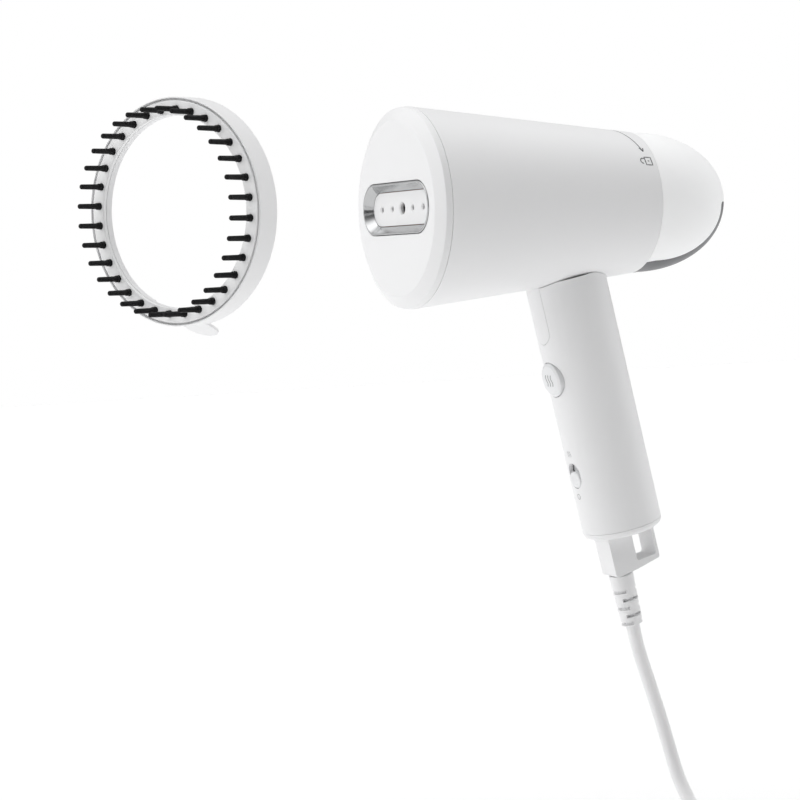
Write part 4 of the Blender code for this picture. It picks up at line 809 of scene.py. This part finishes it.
def wisps(shape, rise, count, tall, wrap):
    """Rising steam: wavy lines side by side."""
    for number in range(count):
        across = (number - (count - 1) / 2) * tall * 0.42
        wave = [(across + 0.1 * tall * math.sin(step / 12 * math.tau), rise + tall * (step / 12 - 0.5))
                for step in range(13)]
        ribbon(shape, wave, tall * 0.11, wrap)


UPPER_SIGN, LOWER_SIGN = -0.0130, -0.0332
SIGN_CIRCLE = 0.0012
signs = bmesh.new()
wisps(signs, UPPER_SIGN, 3, 0.0026, on_grip)
circle = [(SIGN_CIRCLE * math.sin(step / 16 * math.tau),
           LOWER_SIGN + SIGN_CIRCLE * math.cos(step / 16 * math.tau)) for step in range(16)]
ribbon(signs, circle, 0.00030, on_grip, closed=True)
wisps(signs, LOWER_SIGN, 1, 0.0014, on_grip)
bmesh.ops.recalc_face_normals(signs, faces=signs.faces)
settle(signs, "mode_signs", faint_ink, "housing", at=HANDLE)

# ---- Steam button and mode slider ----------------------------------------------------------------
# A slightly domed round button on a flange behind the grip's wall, and below it a slider knob in a
# longer slot. Both are moulded with the stems that work their switches.
button_low, button_high = box_in("steam_button", HANDLE)
front = -button_low.y
flange = BUTTON_RADIUS + 0.0013
flange_front = math.sqrt(HANDLE_BORE ** 2 - flange ** 2) - RUN_GAP
FLANGE_THICK = 0.0012
BUTTON_STEM = 0.0022
button = turned([
    (0, front), (BUTTON_RADIUS * 0.50, front - 0.0001), (BUTTON_RADIUS * 0.84, front - 0.0004, 0.0006),
    (BUTTON_RADIUS, front - 0.0012, 0.0005), (BUTTON_RADIUS, flange_front), (flange, flange_front),
    (flange, flange_front - FLANGE_THICK), (BUTTON_STEM, flange_front - FLANGE_THICK),
    (BUTTON_STEM, -button_high.y), (0, -button_high.y)], 96, closed=False)
settle(button, "steam_button_cap", white_button, "button", "steam_button",
       at=HANDLE @ Matrix.Translation((0, 0, BUTTON_RISE)) @ TO_FRONT)


def on_button(across, rise):
    """A point just above the button's slightly domed front."""
    return (across, -front - INK_STAND + (across ** 2 + (rise - BUTTON_RISE) ** 2) / 0.16, rise)


steam_sign = bmesh.new()
wisps(steam_sign, BUTTON_RISE, 3, 0.0052, on_button)
settle(steam_sign, "steam_sign", faint_ink, "button", at=HANDLE)

SLIDER_TRAVEL = 0.0038
slider_low, slider_high = box_in("mode_slider", HANDLE)
knob_rise = -SLIDER_DROP - SLIDER_TRAVEL / 2
knob_width, knob_length = SLOT_WIDTH - 2 * GAP, SLOT_LENGTH - SLIDER_TRAVEL - 2 * GAP
knob_front = -slider_low.y
RUNNER_HALF = 0.0052
runner_front = math.sqrt(HANDLE_BORE ** 2 - RUNNER_HALF ** 2) - RUN_GAP


def knob_ring(inset, forward):
    """The knob's outline as a ring of points, set in from its edge, at a distance forward."""
    outline = stadium(knob_width - 2 * inset, knob_length - 2 * inset, (0, knob_rise), 16)
    return [(x, -forward, z) for x, z in outline]


knob = lofted([knob_ring(inset, forward) for inset, forward in softened([
    (0, runner_front - 0.0006), (0, knob_front - 0.0002, 0.0006), (0.0012, knob_front, 0.0008),
    (0.0024, knob_front - 0.0004, 0.001), (0.0034, knob_front - 0.0005)], closed=False)], caps=True)
runner_reach = knob_length / 2 + SLIDER_TRAVEL + 0.0008
runner = pressed(oblong(-RUNNER_HALF, RUNNER_HALF, knob_rise - runner_reach, knob_rise + runner_reach),
                 -runner_front, FLANGE_THICK - runner_front, "Y")
lever = pressed(oblong(-0.0020, 0.0020, knob_rise - 0.0015, knob_rise + 0.0015),
                FLANGE_THICK / 2 - runner_front, slider_high.y, "Y")
settle(carved(knob, runner, lever, how="UNION"), "mode_slider_knob", white_button, "slider", "mode_slider",
       at=HANDLE)

# ---- Cord anchor and strain relief ---------------------------------------------------------------
# A white block under the end cap that holds the cord's stem, with a hanging loop behind it. The soft
# strain relief below it is tapered and cut with staggered slots so that it bends with the cord.
ANCHOR_FRONT, ANCHOR_REAR = 0.0124, 0.0122
ANCHOR_WIDTH = 0.0131
LOOP_WALL = 0.0015
LOOP_RISE = 0.0028
anchor_top = cap_low.z - GAP
anchor_foot = cap_low.z - 0.0190
flange_foot = anchor_top - 0.0020
half_width = ANCHOR_WIDTH / 2
flange_plate = pressed(softened([(-ANCHOR_FRONT, anchor_top), (-ANCHOR_FRONT, flange_foot, 0.0003),
                                 (ANCHOR_REAR, flange_foot, 0.0003), (ANCHOR_REAR, anchor_top)]),
                       -half_width, half_width, "X")
anchor = pressed(softened([
    (0.0002 - ANCHOR_FRONT, anchor_top - 0.0010), (0.0002 - ANCHOR_FRONT, anchor_foot, 0.0012),
    (-0.0010, anchor_foot + 0.0008, 0.0012), (ANCHOR_REAR - 0.0001, anchor_foot + LOOP_RISE, 0.0012),
    (ANCHOR_REAR - 0.0001, anchor_top - 0.0010)]), 0.0002 - half_width, half_width - 0.0002, "X")
loop = pressed(softened([
    (0.0002, anchor_top - 0.0017, 0.0010), (0.0002, anchor_foot + 0.0045, 0.0014),
    (ANCHOR_REAR - LOOP_WALL, anchor_foot + LOOP_RISE + 0.0020, 0.0014),
    (ANCHOR_REAR - LOOP_WALL, anchor_top - 0.0017, 0.0010)]), -0.02, 0.02, "X")
stem_bore = moved(rod(STEM_RADIUS + GAP, anchor_foot - 0.004, anchor_top + 0.004, 48), cord_line_in_handle)
settle(carved(carved(anchor, flange_plate, how="UNION"), loop, stem_bore), "cord_anchor_loop", white_shell,
       "housing", "cord_anchor", at=HANDLE, edge=0.0006)

RELIEF_TOP_RADIUS, RELIEF_END_RADIUS = 0.0057, 0.0049
SLOT_LEVELS = (0.0076, 0.0116, 0.0155, 0.0193, 0.0229)
SLOT_HALF = 0.00085
SLOT_DEPTH = 0.0022
relief_top = anchor_foot - GAP
relief_end = relief_low.z


def relief_radius(down):
    """The radius of the tapered sleeve at a distance below its top."""
    return RELIEF_TOP_RADIUS + (RELIEF_END_RADIUS - RELIEF_TOP_RADIUS) * down / (relief_top - relief_end)


sleeve_outline = [(0, relief_high.z), (STEM_RADIUS, relief_high.z), (STEM_RADIUS, relief_top),
                  (RELIEF_TOP_RADIUS, relief_top, 0.0005)]
for level in SLOT_LEVELS:
    for down in (level - SLOT_HALF, level + SLOT_HALF):
        sleeve_outline.append((relief_radius(down), relief_top - down))
sleeve_outline += [(RELIEF_END_RADIUS, relief_end, 0.0002), (0, relief_end)]
sleeve = turned(sleeve_outline, 72, closed=False)
for number, level in enumerate(SLOT_LEVELS):
    for way in ((10, 190) if number % 2 else (-80, 100)):
        looking_out = Vector((math.cos(math.radians(way)), math.sin(math.radians(way)), 0))
        cut_faces = []
        for face in sleeve.faces:
            middle = face.calc_center_median()
            flat = Vector((middle.x, middle.y, 0))
            if (abs(relief_top - level - middle.z) < SLOT_HALF and flat.length > 0.0042
                    and flat.angle(looking_out) < math.radians(60)):
                cut_faces.append(face)
        grown = bmesh.ops.extrude_face_region(sleeve, geom=cut_faces)["geom"]
        bmesh.ops.delete(sleeve, geom=cut_faces, context="FACES_ONLY")
        for corner in grown:
            if isinstance(corner, bmesh.types.BMVert):
                flat = Vector((corner.co.x, corner.co.y, 0))
                corner.co -= flat.normalized() * SLOT_DEPTH
settle(sleeve, "strain_relief_sleeve", sheath, "housing", "strain_relief", at=HANDLE @ cord_line_in_handle)

# ---- Bristle ring --------------------------------------------------------------------------------
# A white ring that snaps over the steam face's rim, with a pull tab below. The black bristles are
# moulded on one strip that is trapped under a pale flat ring, and stand through its holes.
RING_FRONT, RING_BACK = 0.0088, -0.0020
RING_BORE = BAND_RADIUS + 0.0007
RING_RADIUS = RING_BORE + 0.0014
RING_OPENING = 0.0390
PLATE_RADIUS = RING_RADIUS - 0.0010
GROOVE = 0.0004
BRISTLE_CIRCLE = 0.0414
BRISTLES = 32
STRIP_HALF, STRIP_THICK = 0.0015, 0.0014
CHANNEL_HALF = STRIP_HALF + GAP
LIP_WALL = 0.0011
plate_seat = RING_FRONT - 0.0016 - GAP
seat_floor = plate_seat - STRIP_THICK - GAP
web_back = seat_floor - 0.0012
lip_end = FACE_STAND + RUN_GAP
# The ring at rest: swung out on its clip hinge from its place on the head.
RING = (Matrix.Translation(clip["pos_m"]) @ Matrix.Rotation(-math.radians(clip["range_deg"][0]), 4, "Z")
        @ TO_FRONT @ Matrix.Translation((-clip["pos_m"][0], 0, 0)))
ring = turned([
    (RING_RADIUS, RING_FRONT, 0.0004), (RING_RADIUS, RING_BACK, 0.0006), (RING_BORE, RING_BACK, 0.0004),
    (RING_BORE, web_back), (RING_OPENING + LIP_WALL, web_back), (RING_OPENING + LIP_WALL, lip_end, 0.0004),
    (RING_OPENING, lip_end, 0.0004), (RING_OPENING, plate_seat), (BRISTLE_CIRCLE - CHANNEL_HALF, plate_seat),
    (BRISTLE_CIRCLE - CHANNEL_HALF, seat_floor), (BRISTLE_CIRCLE + CHANNEL_HALF, seat_floor),
    (BRISTLE_CIRCLE + CHANNEL_HALF, plate_seat), (PLATE_RADIUS + GROOVE, plate_seat),
    (PLATE_RADIUS + GROOVE, RING_FRONT, 0.0003)])
TAB_HALF, TAB_LENGTH, TAB_THICK = 0.0072, 0.0125, 0.0013
TAB_TILT = 25                               # degrees behind the ring's plane
tab = pressed(round_footed(TAB_HALF, TAB_HALF - TAB_LENGTH, 0.004, 24), -TAB_THICK, 0)
rounded_rim = [line for line in tab.edges if line.calc_face_angle(0) > 0.6 and line.calc_length() < 0.002
               and min(v.co.y for v in line.verts) < 0]
bmesh.ops.bevel(tab, geom=rounded_rim, offset=0.0003, segments=2, profile=0.5, affect="EDGES", material=-1)
tab = moved(tab, Matrix.Translation((0, -RING_BORE - 0.0009, RING_BACK + 0.0015))
            @ Matrix.Rotation(math.radians(90 - TAB_TILT), 4, "X"))
notch = pressed(oblong(-0.0160, 0.0160, -0.0410, -0.0300), lip_end - PAST, seat_floor - 0.0004)
settle(carved(carved(ring, tab, how="UNION"), notch), "clip_ring", white_shell, "brush", "brush_ring",
       at=RING)

HOLE_RADIUS = 0.0016
plate_rim = PLATE_RADIUS - 0.0004
face_ring = turned([(plate_rim, RING_FRONT, 0.0004), (plate_rim, plate_seat + GAP),
                    (RING_OPENING, plate_seat + GAP), (RING_OPENING, RING_FRONT, 0.0003)])
punch = rod(HOLE_RADIUS, plate_seat - PAST, RING_FRONT + PAST, 20)
step_round = math.tau / BRISTLES


def all_round(shape):
    """Copies of a shape on the bristle circle, one for each bristle."""
    moved(shape, Matrix.Rotation(step_round / 2, 4, "Z") @ Matrix.Translation((BRISTLE_CIRCLE, 0, 0)))
    bmesh.ops.spin(shape, geom=shape.verts[:] + shape.edges[:] + shape.faces[:], axis=(0, 0, 1),
                   cent=(0, 0, 0), angle=step_round * (BRISTLES - 1), steps=BRISTLES - 1, use_duplicate=True)
    return shape


settle(carved(face_ring, all_round(punch)), "bristle_face_ring", pale_plastic, "brush", "brush_plate",
       at=RING)
BRISTLE_TIP = RING_FRONT + 0.0120
ROOT_RADIUS, SHANK_RADIUS, TIP_RADIUS = 0.0014, 0.00116, 0.00104
bristle = all_round(turned([
    (0, plate_seat - 0.0012), (ROOT_RADIUS, plate_seat - 0.0012), (ROOT_RADIUS, RING_FRONT + 0.0017, 0.0003),
    (SHANK_RADIUS, RING_FRONT + 0.0020), (TIP_RADIUS, BRISTLE_TIP - 0.0001, 0.0005), (0, BRISTLE_TIP)],
    16, closed=False))
strip_inside, strip_outside = BRISTLE_CIRCLE - STRIP_HALF, BRISTLE_CIRCLE + STRIP_HALF
strip_ring = turned([
    (strip_outside, plate_seat - GAP / 2), (strip_outside, plate_seat - STRIP_THICK),
    (strip_inside, plate_seat - STRIP_THICK), (strip_inside, plate_seat - GAP / 2)], 128)
settle(carved(strip_ring, bristle, how="UNION"), "bristle_row", bristles, "brush", "bristle_strip", at=RING)

# ---- Cord tie and plug ---------------------------------------------------------------------------
# A ribbed rubber tie holds the coiled cord, and the cord ends in a moulded two-pin plug with a
# grooved bend guard and round brass pins.
TIE_WIDTH, TIE_THICK = 0.0090, 0.0008
TIE_WAY = -60                               # degrees round the coil
coil_outside = outer_lane + CORD_DIAMETER / 2
coil_inside = coil_outside - LANES * CORD_DIAMETER
TIE_PLACE = Matrix.Translation((*COIL_CENTRE, 0)) @ Matrix.Rotation(math.radians(TIE_WAY), 4, "Z")


def tie_ring(inset, side):
    """A loop of points round all the coil's turns at one place across the band's width."""
    reach = 0.0015 - inset
    base = coil_low.z - GAP - TIE_THICK + inset
    crown = coil_high.z + GAP + TIE_THICK - inset
    bend = max(0.0024 - inset, 0.0002)
    return [(x, side, z) for x, z in softened([
        (coil_inside - reach, base, bend), (coil_outside + reach, base, bend),
        (coil_outside + reach, crown, bend), (coil_inside - reach, crown, bend)], steps=6)]


ribs = [(0, 0.0003 - TIE_WIDTH / 2)]          # (inset, place across the width) round the band's section
for rib in range(5):
    middle = (rib - 2) * 0.0017
    ribs += [(0, middle - 0.0006), (0.0002, middle - 0.0003), (0.0002, middle + 0.0003), (0, middle + 0.0006)]
ribs += [(0, TIE_WIDTH / 2 - 0.0003), (0.0003, TIE_WIDTH / 2), (TIE_THICK, TIE_WIDTH / 2),
         (TIE_THICK, -TIE_WIDTH / 2), (0.0003, -TIE_WIDTH / 2)]
settle(lofted([tie_ring(inset, side) for inset, side in ribs], closed=True), "cord_tie_band", rubber,
       "housing", "cord_tie", at=TIE_PLACE)

PLUG_WIDTH, PLUG_LENGTH = 0.0350, 0.0380
GUARD_REACH, GUARD_RADIUS = 0.0220, 0.0056
RIB_PITCH, RIB_DEPTH = 0.0024, 0.0011
PIN_PITCH, PIN_RADIUS, PIN_LENGTH, PIN_ROOT = 0.0190, 0.0024, 0.0190, 0.0060
plug_y = plug_high.y - GUARD_REACH
face_y = plug_y - PLUG_LENGTH
waist_y = plug_y - PLUG_LENGTH * 0.55
half = PLUG_WIDTH / 2
outline = softened([
    (plug_x - half, plug_y, 0.0030), (plug_x - half, waist_y, 0.0060),
    (plug_x - half + 0.0020, face_y, 0.0014), (plug_x + half - 0.0020, face_y, 0.0014),
    (plug_x + half, waist_y, 0.0060), (plug_x + half, plug_y, 0.0030),
    (plug_x + 0.0070, plug_y + 0.0060, 0.0020), (plug_x - 0.0070, plug_y + 0.0060, 0.0020)])
body = pressed(outline, plug_low.z, plug_high.z)
level_edges = [line for line in body.edges if abs(line.verts[0].co.z - line.verts[1].co.z) < 0.0001]
bmesh.ops.bevel(body, geom=level_edges, offset=0.0013, segments=4, profile=0.5, affect="EDGES", material=-1)
guard_root, guard_end = 0.002, 0.0043
guard_outline = [(0, guard_root), (GUARD_RADIUS, guard_root)]
for rib in range(6):
    along = 0.0062 + rib * RIB_PITCH
    reach = GUARD_RADIUS + (guard_end - GUARD_RADIUS) * (along - guard_root) / (GUARD_REACH - guard_root)
    guard_outline += [(reach, along, 0.0002), (reach, along + 0.0013, 0.0002),
                      (reach - RIB_DEPTH, along + 0.0015), (reach - RIB_DEPTH, along + 0.0022)]
guard_outline += [(guard_end, GUARD_REACH - 0.0012, 0.0002), (guard_end, GUARD_REACH, 0.0004),
                  (0, GUARD_REACH)]
guard = moved(turned(guard_outline, 64, closed=False),
              Matrix.Translation((plug_x, plug_y, plug_z)) @ Matrix.Rotation(-math.pi / 2, 4, "X"))
pin_bores = []
for name, way in (("left", -1), ("right", 1)):
    pin_place = Matrix.Translation((plug_x + way * PIN_PITCH / 2, face_y, plug_z)) @ TO_FRONT
    pin_bores.append(moved(rod(PIN_RADIUS + GAP, -PIN_ROOT - GAP, 0.004, 40), pin_place))
    pin = turned([(0, -PIN_ROOT), (PIN_RADIUS, -PIN_ROOT), (PIN_RADIUS, PIN_LENGTH, 0.0012), (0, PIN_LENGTH)],
                 40, closed=False)
    settle(pin, f"plug_pin_round_{name}", pin_brass, "housing", f"plug_pin_{name}", at=pin_place)
settle(carved(carved(body, guard, how="UNION"), *pin_bores), "plug_moulding", white_shell, "housing",
       "plug_body")
